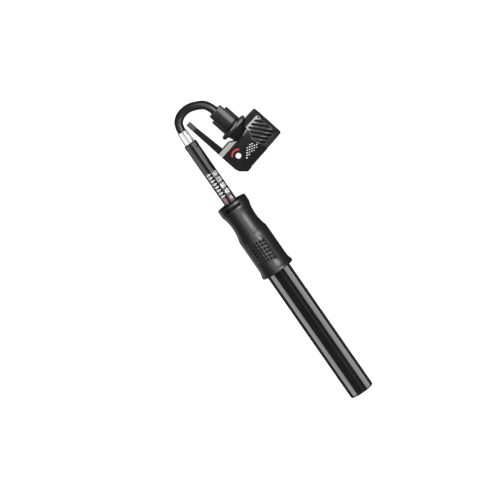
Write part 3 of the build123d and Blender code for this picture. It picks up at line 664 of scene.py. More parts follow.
# ---- The grip ---------------------------------------------------------------------------
@dataclass
class Grip:
    """The moulded grip: rim, waist, palm and flared skirt, in the pump's millimetres."""

    shop: Workshop
    length: float = 74.0
    rim_radius: float = 14.5
    rim_length: float = 7.5
    rim_round: float = 0.9
    waist_x: float = 21.0
    waist_radius: float = 12.35
    palm_radius: float = 14.65
    palm_start: float = 34.0
    palm_end: float = 65.5
    skirt_x: float = 71.8
    skirt_radius: float = 16.1
    skirt_round: float = 0.9
    collar_hole: float = 11.2
    barrel_hole: float = 12.0
    bush_hole: float = 12.72
    step_x: float = 30.0
    bush_x: float = 66.0
    around: int = 216
    ring_step: float = 0.42
    window_x: tuple[float, float] = (2.7, 5.6)
    window_y: tuple[float, float] = (-8.8, 6.5)
    window_margin: float = 1.0
    window_floor: float = 2.0
    cut_weld: float = 1e-5
    rounds: tuple[float, ...] = (0.0, 0.07, 0.2, 0.4, 0.65, 0.9)
    mouth_edge: float = 0.25
    flare_power: float = 2.1
    dimple_size: tuple[float, float] = (1.2, 0.82)
    dimple_depth: float = 1.2
    lip_height: float = 0.22
    dimple_columns: tuple[float, ...] = (43.3, 46.6, 50.5, 53.8, 57.7, 61.0)
    dimple_rows: tuple[float, ...] = (3.9, 1.1, -1.7, -4.4, -7.0, -9.3)
    dimple_lean: float = 0.7
    dimple_reach: float = 2.5
    dimple_wall: tuple[float, float] = (0.80, 1.12)
    lip_rise: tuple[float, float] = (0.9, 1.2)
    lip_fall: tuple[float, float] = (1.25, 1.9)
    panel_height: float = 0.22
    panel_fade: float = 3.5
    panel_y: float = -2.4
    panel_half: float = 8.4
    panel_tip: float = 30.8
    panel_tip_half: float = 0.4
    panel_growth: float = 7.4
    panel_growth_length: float = 9.0
    panel_edge: tuple[float, float] = (-1.2, 0.8)
    panel_start: tuple[float, float] = (29.0, 32.0)
    panel_stop: tuple[float, float] = (62.5, 66.5)
    relief_start: float = 20.0
    relief_skin: float = 0.02
    fine_x: tuple[float, float] = (39.0, 63.5)
    fine_y: tuple[float, float] = (-10.8, 5.4)
    fine_z: float = 8.0
    fine_radius: float = 13.5

    def outer_radius(self, x: float) -> float:
        """Gives the grip's outside radius at a station.

        Args:
            x: The station along the pump.

        Returns:
            The radius there.
        """
        if x < self.rim_length:
            edge = max(0.0, self.rim_round - x)
            return self.rim_radius - self.rim_round + math.sqrt(max(0.0, self.rim_round**2 - edge**2))
        if x < self.palm_start:
            return self._waist(x)
        if x < self.palm_end:
            return self.palm_radius
        if x < self.skirt_x:
            t = (x - self.palm_end) / (self.skirt_x - self.palm_end)
            return self.palm_radius + (self.skirt_radius - self.palm_radius) * t**self.flare_power
        edge = max(0.0, x - (self.length - self.skirt_round))
        return self.skirt_radius - self.skirt_round + math.sqrt(max(0.0, self.skirt_round**2 - edge**2))

    def _waist(self, x: float) -> float:
        """Gives the waist's arc through the rim, the waist and the palm.

        Args:
            x: The station along the pump.

        Returns:
            The radius there.
        """
        first = Vector((self.rim_length, self.rim_radius))
        middle = Vector((self.waist_x, self.waist_radius))
        last = Vector((self.palm_start, self.palm_radius))
        a, b = middle - first, last - first
        cross = 2 * (a.x * b.y - a.y * b.x)
        centre = first + Vector(
            (
                (b.y * a.length_squared - a.y * b.length_squared) / cross,
                (a.x * b.length_squared - b.x * a.length_squared) / cross,
            )
        )
        radius = (first - centre).length
        side = -1 if centre.y > middle.y else 1
        return centre.y + side * math.sqrt(max(0.0, radius**2 - (x - centre.x) ** 2))

    def profile(self) -> list[tuple[float, float]]:
        """Gives the closed outline that is spun, outside first and then the bores.

        Returns:
            Points as (x, radius).
        """
        outside = list(self.rounds)
        x = self.rounds[-1]
        while x < self.length - self.skirt_round - self.ring_step:
            x += self.ring_step
            outside.append(x)
        outside += [self.length - end for end in reversed(self.rounds)]
        outline = [(x, self.outer_radius(x)) for x in outside]
        inside = [
            (self.length, self.bush_hole),
            (self.bush_x, self.bush_hole),
            (self.bush_x, self.barrel_hole),
            (self.step_x, self.barrel_hole),
            (self.step_x, self.collar_hole),
            (self.window_x[1] + self.window_margin, self.collar_hole),
            (self.window_x[0] - self.window_margin, self.collar_hole),
            (self.mouth_edge, self.collar_hole),
            (0.0, self.collar_hole + self.mouth_edge),
        ]
        return outline + inside

    def relief(self, x: float, y: float) -> float:
        """Gives how far the palm's face lies below its full radius on the upper side.

        Args:
            x: The station along the pump.
            y: The place across it.

        Returns:
            The depth in millimetres.
        """
        depth = self.dimple_depth * self.dimple(x, y) - self.lip_height * self.lip(x, y)
        half = 0.0
        if x > self.panel_tip:
            grown = math.sqrt((x - self.panel_tip) / self.panel_growth_length)
            half = self.panel_tip_half + self.panel_growth * grown
        side = abs(y - self.panel_y) - min(half, self.panel_half)
        step = smooth_step(*self.panel_edge, side) * math.exp(-max(0.0, side) / self.panel_fade)
        ends = smooth_step(*self.panel_start, x) * (1 - smooth_step(*self.panel_stop, x))
        return depth + self.panel_height * ends * step

    def nearest_dimple(self, x: float, y: float) -> float:
        """Gives how far a place is from the nearest dimple's middle.

        Args:
            x: The station along the pump.
            y: The place across it.

        Returns:
            The distance, which is 1 at the dimple's edge.
        """
        nearest = math.inf
        long_half, wide_half = self.dimple_size
        for row, centre_y in enumerate(self.dimple_rows):
            v = abs(y - centre_y) / wide_half
            if v > self.dimple_reach:
                continue
            for centre_x in self.dimple_columns:
                u = abs(x - centre_x + self.dimple_lean * row) / long_half
                if u < self.dimple_reach:
                    nearest = min(nearest, (u**3 + v**3) ** (1 / 3))
        return nearest

    def dimple(self, x: float, y: float) -> float:
        """Gives how deep a place lies in a dimple, from 0 to 1."""
        return 1 - smooth_step(*self.dimple_wall, self.nearest_dimple(x, y))

    def lip(self, x: float, y: float) -> float:
        """Gives how high a place stands in the soft lip round a dimple, from 0 to 1."""
        reach = self.nearest_dimple(x, y)
        return smooth_step(*self.lip_rise, reach) * (1 - smooth_step(*self.lip_fall, reach))

    def build(self) -> bpy.types.Object:
        """Makes the grip's shell.

        Returns:
            The finished piece.
        """
        bm = self.shop.turned(self.profile(), self.around)
        self._refine(bm)
        # painted shade: each vertex's share of darkening, highest on the dimples' floors
        painted_shade = bm.verts.layers.float.new(PAINTED_SHADE)
        for vertex in bm.verts:
            radius = math.hypot(vertex.co.y, vertex.co.z)
            skin = self.outer_radius(vertex.co.x) - self.relief_skin
            if radius < skin or vertex.co.x < self.relief_start:
                continue
            side = self._mirrored(vertex.co)
            depth = self.relief(*side)
            vertex[painted_shade] = self.dimple(*side)
            vertex.co.y *= (radius - depth) / radius
            vertex.co.z *= (radius - depth) / radius
        self._window(bm)
        grip = self.shop.piece(
            "grip_moulding",
            bm,
            LAYOUT.pump(),
            self.shop.paints.slot("grip_rubber"),
            "handle",
            "grip_rubber",
            sharp=40,
        )
        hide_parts("grip_shell")
        return grip

    def _mirrored(self, at: Vector) -> tuple[float, float]:
        """Gives a point's place on the palm's pattern, which is on both sides."""
        return at.x, at.y if at.z > 0 else 2 * self.panel_y - at.y

    def _refine(self, bm: bmesh.types.BMesh) -> None:
        """Cuts the dimpled patches finer.

        Args:
            bm: The grip's mesh, which is changed.
        """
        edges = set()
        for face in bm.faces:
            at = face.calc_center_median()
            y = self._mirrored(at)[1]
            near = self.fine_x[0] < at.x < self.fine_x[1] and self.fine_y[0] < y < self.fine_y[1]
            if near and math.hypot(at.y, at.z) > self.fine_radius and abs(at.z) > self.fine_z:
                edges.update(face.edges)
        bmesh.ops.subdivide_edges(bm, edges=list(edges), cuts=1, use_grid_fill=True)

    def _window(self, bm: bmesh.types.BMesh) -> None:
        """Opens the clip's window through the rim's upper side.

        Args:
            bm: The grip's mesh, which is changed.
        """
        planes = [(Vector((x, 0, 0)), Vector((1, 0, 0))) for x in self.window_x]
        planes += [(Vector((0, y, 0)), Vector((0, 1, 0))) for y in self.window_y]
        for point, normal in planes:
            faces = []
            for face in bm.faces:
                at = face.calc_center_median()
                if at.z > self.window_floor and at.x < self.rim_length + self.window_margin:
                    faces.append(face)
            edges = {edge for face in faces for edge in face.edges}
            corners = {vertex for face in faces for vertex in face.verts}
            bmesh.ops.bisect_plane(
                bm,
                geom=list(corners) + list(edges) + faces,
                dist=self.cut_weld,
                plane_co=point,
                plane_no=normal,
            )
        inside = []
        for face in bm.faces:
            at = face.calc_center_median()
            if (
                at.z > self.window_floor
                and self.window_x[0] < at.x < self.window_x[1]
                and self.window_y[0] < at.y < self.window_y[1]
            ):
                inside.append(face)
        bmesh.ops.delete(bm, geom=inside, context="FACES")
        rims = [edge for edge in bm.edges if edge.is_boundary]
        bmesh.ops.bridge_loops(bm, edges=rims)
        bmesh.ops.recalc_face_normals(bm, faces=bm.faces)


# ---- The gauge tube ---------------------------------------------------------------------
@dataclass
class GaugeTube:
    """The smoked gloss tube with its clear window, in the pump's millimetres."""

    shop: Workshop
    radius: float = 6.2
    bore: float = 5.3
    top: float = -60.0
    foot: float = 20.2
    window_x: tuple[float, float] = (-33.6, 1.0)
    window_turn: tuple[float, float] = (-56.0, -4.0)
    edge: float = 0.2
    around: int = 120

    def build(self) -> bpy.types.Object:
        """Makes the tube, with the window's faces in the clear material.

        Returns:
            The finished piece.
        """
        edge = self.edge
        stations = [self.top, self.window_x[0], self.window_x[1], self.foot]
        outside = [(self.top, self.radius - edge), (self.top + edge, self.radius)]
        outside += [(x, self.radius) for x in stations[1:3]]
        outside += [(self.foot - edge, self.radius), (self.foot, self.radius - edge)]
        inside = [(x, self.bore) for x in reversed(stations)]
        bm = self.shop.turned(outside + inside, self.around)
        low, high = self.window_turn
        for face in bm.faces:
            at = face.calc_center_median()
            turn = math.degrees(math.atan2(at.y, at.z))
            if self.window_x[0] < at.x < self.window_x[1] and low < turn < high:
                face.material_index = 1
        tube = self.shop.piece(
            "gauge_tube_moulding",
            bm,
            LAYOUT.pump(),
            self.shop.paints.slot("gauge_lens"),
            "gauge_tube",
            "gauge_lens",
        )
        tube.data.materials.append(self.shop.paints.get(CLEAR_WINDOW))
        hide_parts("gauge_lens")
        return tube


@dataclass
class HoseFerrule:
    """The bright ferrule, crimped along its length, in the pump's millimetres."""

    shop: Workshop
    start: float = -64.3
    end: float = -76.8
    base_radius: float = 5.1
    top_radius: float = 4.6
    bore: float = 4.06
    crimps: int = 5
    first_crimp: float = -12.0
    crimp_depth: float = 0.3
    crimp_width: float = 5.0
    crimp_flat: float = 0.3
    skin: float = 0.1
    edge: float = 0.35
    shoulder: float = 0.3
    around: int = 180

    def build(self) -> bpy.types.Object:
        """Makes the ferrule.

        Returns:
            The finished piece.
        """
        edge = self.edge
        outline = [
            (self.end, self.bore),
            (self.end, self.top_radius - edge),
            (self.end + edge * self.shoulder, self.top_radius - edge * self.shoulder),
            (self.end + edge, self.top_radius),
            (self.start - edge, self.base_radius),
            (self.start, self.base_radius - edge / 2),
            (self.start, self.bore),
        ]
        bm = self.shop.turned(outline, self.around)
        pitch = math.degrees(math.tau) / self.crimps
        for vertex in bm.verts:
            radius = math.hypot(vertex.co.y, vertex.co.z)
            if radius < self.bore + self.skin:
                continue
            turn = math.degrees(math.atan2(vertex.co.y, vertex.co.z)) - self.first_crimp
            off = abs((turn + pitch / 2) % pitch - pitch / 2)
            flat = self.crimp_width * self.crimp_flat
            sink = self.crimp_depth * (1 - smooth_step(flat, self.crimp_width, off))
            vertex.co.y *= (radius - sink) / radius
            vertex.co.z *= (radius - sink) / radius
        ferrule = self.shop.piece(
            "crimped_ferrule",
            bm,
            LAYOUT.pump(),
            self.shop.paints.slot("ferrule_metal"),
            "gauge_tube",
            "ferrule_metal",
        )
        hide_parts("hose_ferrule")
        return ferrule


@dataclass
class GaugeScale:
    """The ticks and the numbers printed on the gauge's lens, in the pump's millimetres."""

    shop: Workshop
    radius: float = 6.2
    ink: float = 0.05
    ink_root: float = 0.6
    first_tick: float = -31.7
    tick_pitch: float = 3.28
    ticks: int = 8
    tick_y: tuple[float, float] = (-4.5, -0.8)
    tick_width: float = 0.6
    tick_depth: float = 0.1
    tick_edge: float = 0.03
    tick_cuts: int = 10
    numbers: tuple[tuple[str, float], ...] = (
        ("160", -29.9),
        ("120", -23.5),
        ("80", -17.1),
        ("40", -10.8),
    )
    number_y: tuple[float, float] = (0.8, 4.8)
    number_height: float = 4.4
    zero_x: float = -4.0
    zero_height: float = 3.2
    font_scale: float = 1.45
    font_half_depth: float = 0.05
    font_offset: float = -0.03
    font_steps: int = 3
    steepest: float = 0.999

    def wrap(self, bm: bmesh.types.BMesh) -> None:
        """Bends a flat print, drawn with z as its height, round the lens.

        Args:
            bm: The print's mesh, which is changed.
        """
        for vertex in bm.verts:
            radius = self.radius + self.ink * (1 if vertex.co.z > 0 else -self.ink_root)
            angle = math.asin(max(-self.steepest, min(self.steepest, vertex.co.y / self.radius)))
            vertex.co.y = radius * math.sin(angle)
            vertex.co.z = radius * math.cos(angle)

    def tick_marks(self) -> bpy.types.Object:
        """Makes the row of ticks.

        Returns:
            The finished piece.
        """
        bm = bmesh.new()
        low, high = self.tick_y
        for number in range(self.ticks):
            size = (high - low, self.tick_width, self.tick_depth)
            bar = self.shop.rounded_bar(size, self.tick_edge, self.tick_cuts)
            bmesh.ops.rotate(bar, matrix=Matrix.Rotation(math.pi / 2, 3, "Z"), verts=bar.verts)
            x = self.first_tick + number * self.tick_pitch
            bmesh.ops.translate(bar, vec=(x, (low + high) / 2, 0), verts=bar.verts)
            absorb(bm, bar)
        self.wrap(bm)
        return self.shop.piece(
            "scale_ticks",
            bm,
            LAYOUT.pump(),
            self.shop.paints.get(PRINT_WHITE),
            "gauge_tube",
            "gauge_lens",
        )

    def numerals(self) -> bpy.types.Object:
        """Makes the numbers, which read with the hose's end up.

        Returns:
            The finished piece.
        """
        bm = bmesh.new()
        for text, x in self.numbers:
            absorb(bm, self._number(text, x, self.number_height))
        absorb(bm, self._number("0", self.zero_x, self.zero_height))
        self.wrap(bm)
        return self.shop.piece(
            "scale_numbers",
            bm,
            LAYOUT.pump(),
            self.shop.paints.get(PRINT_WHITE),
            "gauge_tube",
            "gauge_lens",
        )

    def _number(self, text: str, x: float, height: float) -> bmesh.types.BMesh:
        """Makes one flat number, squeezed to the scale's width.

        Args:
            text: The number.
            x: The station along the pump.
            height: The height of its figures.

        Returns:
            The number's mesh.
        """
        data = bpy.data.curves.new("number", "FONT")
        data.body = text
        data.size = height * self.font_scale
        data.extrude = self.font_half_depth
        data.resolution_u = self.font_steps
        data.offset = self.font_offset
        data.align_x = "CENTER"
        data.align_y = "CENTER"
        drawn = bpy.data.objects.new("number", data)
        bpy.context.scene.collection.objects.link(drawn)
        bpy.context.view_layer.update()
        mesh = bpy.data.meshes.new_from_object(drawn)
        bpy.data.objects.remove(drawn)
        bpy.data.curves.remove(data)
        bm = bmesh.new()
        bm.from_mesh(mesh)
        bpy.data.meshes.remove(mesh)
        bmesh.ops.remove_doubles(bm, verts=bm.verts, dist=WELD)
        xs = [vertex.co.x for vertex in bm.verts]
        low, high = self.number_y
        squeeze = min(1.0, (high - low) / (max(xs) - min(xs)))
        bmesh.ops.scale(bm, vec=(squeeze, 1, 1), verts=bm.verts)
        bmesh.ops.rotate(bm, matrix=Matrix.Rotation(math.pi / 2, 3, "Z"), verts=bm.verts)
        bmesh.ops.translate(bm, vec=(x, (low + high) / 2, 0), verts=bm.verts)
        bmesh.ops.recalc_face_normals(bm, faces=bm.faces)
        return bm

    def build(self) -> None:
        """Makes the whole scale."""
        self.tick_marks()
        self.numerals()


@dataclass
class GaugeCoil:
    """The weak spring above the red ring, which closes up as the ring rises."""

    shop: Workshop
    coil_radius: float = 2.8
    wire_radius: float = 0.25
    turns: int = 11
    steps_per_turn: int = 28
    wire_sides: int = 10
    top_x: float = -53.98
    foot_x: float = -6.82
    rise: float = 27.2

    def build(self) -> bpy.types.Object:
        """Winds the wire.

        Returns:
            The finished piece.
        """
        bm = bmesh.new()
        wire = bmesh.ops.create_circle(bm, radius=self.wire_radius, segments=self.wire_sides)["verts"]
        start = (self.top_x + self.wire_radius, self.coil_radius, 0)
        bmesh.ops.translate(bm, vec=start, verts=wire)
        steps = self.turns * self.steps_per_turn
        pitch = (self.foot_x - self.top_x - 2 * self.wire_radius) / steps
        bmesh.ops.spin(
            bm,
            geom=bm.verts[:] + bm.edges[:],
            cent=(0, 0, 0),
            axis=(1, 0, 0),
            dvec=(pitch, 0, 0),
            angle=math.tau * self.turns,
            steps=steps,
        )
        bmesh.ops.holes_fill(bm, edges=[edge for edge in bm.edges if edge.is_boundary])
        bmesh.ops.recalc_face_normals(bm, faces=bm.faces)
        coil = self.shop.piece(
            "gauge_coil",
            bm,
            LAYOUT.pump(),
            self.shop.paints.slot("spring_steel"),
            "gauge_tube",
            "spring_steel",
        )
        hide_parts("gauge_spring")
        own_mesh(coil)
        return coil


# ---- The head ---------------------------------------------------------------------------
def beside_mouth(bm: bmesh.types.BMesh, mouth_x: float) -> None:
    """Stands a mesh that was turned about X on the valve mouth's axis.

    Args:
        bm: The mesh, which is changed.
        mouth_x: The mouth's place along the connector.
    """
    bmesh.ops.rotate(bm, matrix=Matrix.Rotation(math.pi / 2, 3, "Z"), verts=bm.verts)
    bmesh.ops.translate(bm, vec=(mouth_x, 0, 0), verts=bm.verts)


@dataclass
class HeadSleeve:
    """The grooved sleeve round the head's upper half, in the head's millimetres."""

    shop: Workshop
    mouth_x: float = 16.1
    radius: float = 16.5
    bore: float = 12.52
    top: float = 22.15
    lip_top: float = 22.38
    seam_depth: float = 0.9
    foot: float = 2.0
    lower_edge: tuple[tuple[float, float], ...] = ((-1.0, 7.2), (8.6, 6.8), (15.5, 2.0), (33.5, 7.2))
    around: int = 288
    ring_step: float = 0.36
    groove_left: float = 6.2
    # painted shade on the sleeve's left side, which turns from the light, ends here
    side_shade_end: float = 4.9
    groove_right: float = 27.4
    groove_slope: float = 0.60
    groove_pitch: float = 4.15
    groove_floor: float = 0.16
    groove_crest: float = 0.74
    groove_depth: float = 1.35
    groove_top: float = 21.2
    fade_left: float = 0.7
    fade_right: float = 0.8
    fade_low: float = 0.8
    fade_top: float = 0.6
    low_margin: float = 1.1
    low_y: float = 1.4
    low_slope: float = 0.52
    low_x: float = 18.7
    side_shade_fade: float = 0.6
    shade_span: tuple[float, float] = (0.12, 0.62)
    # painted shade along the top edge, at the step down to the lip
    rim_shade_span: tuple[float, float] = (0.9, 0.3)
    skin: float = 0.05
    side_z: float = 3.0
    edge_round: float = 0.25

    def lower_limit(self, x: float) -> float:
        """Gives the height of the sleeve's lower edge.

        Args:
            x: The place along the connector.

        Returns:
            The edge's place towards the mouth.
        """
        points = self.lower_edge
        for (left, low), (right, high) in zip(points, points[1:]):
            if x <= right or right == points[-1][0]:
                share = min(1.0, max(0.0, (x - left) / (right - left)))
                return low + (high - low) * share
        return points[-1][1]

    def groove(self, x: float, y: float) -> float:
        """Gives how deep a place of the face lies in a groove.

        Args:
            x: The place along the connector.
            y: The place towards the mouth.

        Returns:
            The depth in millimetres.
        """
        phase = (y - self.groove_slope * (x - self.mouth_x)) / self.groove_pitch
        off = abs((phase % 1.0) - 0.5) * 2
        cut = 1 - smooth_step(self.groove_floor, self.groove_crest, off)
        ends = smooth_step(self.groove_left, self.groove_left + self.fade_left, x)
        ends *= 1 - smooth_step(self.groove_right - self.fade_right, self.groove_right, x)
        low = self.low_y + self.low_slope * abs(x - self.low_x)
        low = max(self.lower_limit(x) + self.low_margin, low)
        ends *= smooth_step(low, low + self.fade_low, y)
        ends *= 1 - smooth_step(self.groove_top - self.fade_top, self.groove_top, y)
        return self.groove_depth * cut * ends

    def build(self) -> bpy.types.Object:
        """Makes the sleeve.

        Returns:
            The finished piece.
        """
        rings = round((self.top - self.foot) / self.ring_step)
        outside = [
            (self.foot + (self.top - self.foot) * step / rings, self.radius) for step in range(1, rings)
        ]
        low = [(self.foot, self.radius - self.edge_round)]
        high = [(self.top, self.radius - self.edge_round), (self.top, self.radius - self.seam_depth)]
        lip = [(self.lip_top, self.radius - self.seam_depth)]
        inside = [(self.lip_top, self.bore), (self.foot, self.bore)]
        bm = self.shop.turned(low + outside + high + lip + inside, self.around)
        beside_mouth(bm, self.mouth_x)
        painted_shade = bm.verts.layers.float.new(PAINTED_SHADE)
        for vertex in bm.verts:
            x, y, z = vertex.co
            limit = self.lower_limit(x)
            y = self.top - (self.top - y) * (self.top - limit) / (self.top - self.foot)
            vertex.co.y = y
            radius = math.hypot(x - self.mouth_x, z)
            if radius > self.radius - self.skin and abs(z) > self.side_z:
                depth = self.groove(x, y)
                # painted shade on the left side that turns away from the light
                side_shade = 1 - smooth_step(self.side_shade_end - self.side_shade_fade, self.side_shade_end, x)
                # painted shade in the grooves, deepest where they are deepest
                shade = smooth_step(*self.shade_span, depth / self.groove_depth)
                # painted shade along the top edge, at the step down to the lip
                rim = smooth_step(self.top - self.rim_shade_span[0], self.top - self.rim_shade_span[1], y)
                vertex[painted_shade] = max(shade, side_shade, rim)
                sink = (radius - depth) / radius
                vertex.co.x = self.mouth_x + (x - self.mouth_x) * sink
                vertex.co.z = z * sink
        bmesh.ops.recalc_face_normals(bm, faces=bm.faces)
        sleeve = self.shop.piece(
            "grooved_sleeve",
            bm,
            LAYOUT.head(),
            self.shop.paints.slot("sleeve_black"),
            "head",
            "sleeve_black",
        )
        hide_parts("head_sleeve")
        return sleeve


@dataclass
class HousingDots:
    """The field of small bumps on the head's cheeks, in the head's millimetres."""

    shop: Workshop
    half_length: float = 0.8
    half_width: float = 0.5
    height: float = 0.25
    sunk: float = 0.02
    ray_from: float = 40.0
    lowest_seat: float = 9.0
    segments: int = 12
    rings: int = 6
    first: tuple[float, float] = (18.9, -3.3)
    along_row: tuple[float, float] = (0.98, 1.89)
    next_row: tuple[float, float] = (1.42, -1.79)
    rows: tuple[tuple[int, int], ...] = ((0, 1), (-1, 3), (-1, 3), (-1, 2), (-1, 0), (-1, -1))

    def both_faces(self, bm: bmesh.types.BMesh) -> None:
        """Repeats what is on the upper face on the lower one.

        Args:
            bm: The bumps' mesh, which is changed.
        """
        copied = bmesh.ops.duplicate(bm, geom=bm.verts[:] + bm.edges[:] + bm.faces[:])["geom"]
        verts = [item for item in copied if isinstance(item, bmesh.types.BMVert)]
        faces = [item for item in copied if isinstance(item, bmesh.types.BMFace)]
        bmesh.ops.scale(bm, vec=(1, 1, -1), verts=verts)
        bmesh.ops.reverse_faces(bm, faces=faces)

    def build(self) -> bpy.types.Object:
        """Makes the bumps, seated on the housing's own face.

        Returns:
            The finished piece.
        """
        housing = bmesh.new()
        housing.from_mesh(bpy.data.objects["head_body"].data)
        housing.transform(LAYOUT.head().inverted())
        tree = BVHTree.FromBMesh(housing)
        housing.free()
        bm = bmesh.new()
        lean = math.atan2(self.along_row[1], self.along_row[0])
        for row, (start, end) in enumerate(self.rows, -1):
            for step in range(start, end + 1):
                x = self.first[0] + self.along_row[0] * step + self.next_row[0] * row
                y = self.first[1] + self.along_row[1] * step + self.next_row[1] * row
                seat = tree.ray_cast(Vector((x, y, self.ray_from)), Vector((0, 0, -1)))[0]
                if seat is None or seat.z < self.lowest_seat:
                    continue
                dot = bmesh.new()
                bmesh.ops.create_uvsphere(
                    dot, u_segments=self.segments, v_segments=self.rings, radius=1.0
                )
                size = (self.half_length, self.half_width, self.height)
                bmesh.ops.scale(dot, vec=size, verts=dot.verts)
                bmesh.ops.rotate(dot, matrix=Matrix.Rotation(lean, 3, "Z"), verts=dot.verts)
                bmesh.ops.translate(dot, vec=(x, y, seat.z - self.sunk), verts=dot.verts)
                absorb(bm, dot)
        self.both_faces(bm)
        return self.shop.piece(
            "housing_dots", bm, LAYOUT.head(), self.shop.paints.get(BUMP_WHITE), "head", "head_black"
        )


@dataclass
class ThumbPad:
    """The ribbed grey pad that wraps the lever's tip, in the head's millimetres."""

    shop: Workshop
    tip_x: float = -34.8
    length: float = 7.9
    floor_y: float = -26.6
    thick: float = 4.5
    half_width: float = 5.12
    edge: float = 0.5
    ribs: int = 5
    rib_width: float = 0.8
    rib_height: float = 0.3
    rib_depth: float = 0.6
    rib_margin: float = 0.4
    rib_edge: float = 0.2
    rib_lead: float = 0.8
    rib_spare: float = 0.6

    def build(self) -> bpy.types.Object:
        """Makes the pad.

        Returns:
            The finished piece.
        """
        size = (self.length, self.thick, 2 * self.half_width)
        middle = Vector((self.tip_x + self.length / 2, self.floor_y + self.thick / 2, 0))
        bm = self.shop.rounded_bar(size, self.edge, 0)
        bmesh.ops.translate(bm, vec=middle, verts=bm.verts)
        pitch = self.length / (self.ribs + self.rib_spare)
        rib_size = (self.rib_width, self.rib_depth, 2 * self.half_width - 2 * self.rib_margin)
        for number in range(self.ribs):
            rib = self.shop.rounded_bar(rib_size, self.rib_edge, 0)
            x = self.tip_x + pitch * (number + self.rib_lead)
            y = self.floor_y + self.thick - self.rib_depth / 2 + self.rib_height
            bmesh.ops.translate(rib, vec=(x, y, 0), verts=rib.verts)
            absorb(bm, rib)
        pad = self.shop.piece(
            "ribbed_thumb_pad",
            bm,
            LAYOUT.head(),
            self.shop.paints.slot("pad_grey"),
            "lever",
            "pad_grey",
        )
        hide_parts("lever_pad")
        return pad


# ---- Carried-over pieces ----------------------------------------------------------------
@dataclass
class CarriedParts:
    """The pieces whose own shape is right, which only get their finish."""

    shop: Workshop
    nodes: dict[str, bpy.types.Object] = field(default_factory=dict)

    def dress(self, record: dict) -> None:
        """Gives every carried-over piece the material of its slot.

        Args:
            record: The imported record.
        """
        slots = {row["node"]: row["material_slot"] for row in record["subparts"]}
        for name, node in self.nodes.items():
            slot = slots[name]
            node.data.materials.clear()
            node.data.materials.append(self.shop.paints.slot(slot))
            for polygon in node.data.polygons:
                polygon.material_index = 0
            LOG.info("%s is finished as %s", name, slot)


# ---- The studio -------------------------------------------------------------------------
AIM = (-0.09515, -0.0102, 0.00182)  # the point that the camera and the strips look at
HEAD_MIDDLE = (16.0, 0.0, 0.0)  # where the cards' lines start, in the head's millimetres
ALONG_LIMIT = 0.9  # past this a card's line runs too near the connector's own

BARREL = ("barrel_tube", "end_cap")
TUBE = (
    "gauge_tube_moulding",
    "tube_cap",
    "scale_ticks",
    "scale_numbers",
    "scale_sleeve",
    "gauge_indicator",
)
FERRULE = ("crimped_ferrule",)
RUBBER = ("grip_moulding", "rubber_hose")
SLEEVE = ("grooved_sleeve",)
JOINT = ("head_connector", "hose_collar")
HEAD = (
    "head_body",
    "head_connector",
    "lever",
    "ribbed_thumb_pad",
    "hose_collar",
    "pivot_discs",
    "lock_marks",
    "lever_pin",
    "housing_dots",
)
DARK_IN_GLOSS = (*HEAD, "grooved_sleeve", "mouth_ring")


@dataclass(frozen=True)
class Softbox:
    """A softbox that the camera doesn't see, kept to some pieces, with sizes in metres."""

    name: str
    distance: float
    length: float
    width: float
    radiance: float
    lights: tuple[str, ...]
    glossy: bool = True
    shadow: bool = True

    def place(self) -> Matrix:
        """Gives where it stands."""
        return Matrix.Translation((0, 0, self.distance))

    def build(self) -> bpy.types.Object:
        """Makes the light.

        Returns:
            The light, in its place.
        """
        data = bpy.data.lights.new(self.name, "AREA")
        data.shape = "RECTANGLE"
        data.size = self.length
        data.size_y = self.width
        data.energy = self.radiance * math.pi * self.length * self.width
        data.use_shadow = self.shadow
        light = bpy.data.objects.new(self.name, data)
        bpy.context.scene.collection.objects.link(light)
        light.visible_camera = False
        light.visible_glossy = self.glossy
        lit = bpy.data.collections.new(self.name + "_lights")
        for name in self.lights:
            lit.objects.link(bpy.data.objects[name])
        light.light_linking.receiver_collection = lit
        light.matrix_world = self.place()
        return light


@dataclass(frozen=True)
class Strip(Softbox):
    """A long softbox that lies along the pump.

    Its angle is in degrees from straight above the pump towards the head's side, and its
    lean from square to the pump towards the barrel's closed end.
    """

    angle: float = 0.0
    lean: float = 0.0

    def place(self) -> Matrix:
        """Gives where it stands, turned to face the pump.

        Returns:
            Its matrix in the row frame.
        """
        turn = Matrix.Rotation(-math.radians(LAYOUT.roll) - math.radians(self.angle), 4, "X")
        turn = turn @ Matrix.Rotation(math.radians(self.lean), 4, "Y")
        centre = Matrix.Translation((AIM[0], 0, 0))
        return centre @ turn @ Matrix.Translation((0, 0, self.distance))


@dataclass(frozen=True)
class Card(Softbox):
    """A softbox on a line from the head, with its length along the connector.

    The way to it is in the head's own axes.
    """

    towards: tuple[float, float, float] = (0.0, 0.0, 1.0)

    def place(self) -> Matrix:
        """Gives where it stands, turned to face the head.

        Returns:
            Its matrix in the row frame.
        """
        axes = LAYOUT.head().to_3x3()
        way = (axes @ Vector(self.towards)).normalized()
        along = axes @ Vector((1, 0, 0))
        if abs(way.dot(along.normalized())) > ALONG_LIMIT:
            along = axes @ Vector((0, 1, 0))
        along = (along - way * along.dot(way)).normalized()
        place = LAYOUT.head() @ Vector(HEAD_MIDDLE) + way * self.distance
        turn = Matrix((along, way.cross(along), way)).transposed()
        return Matrix.Translation(place) @ turn.to_4x4()


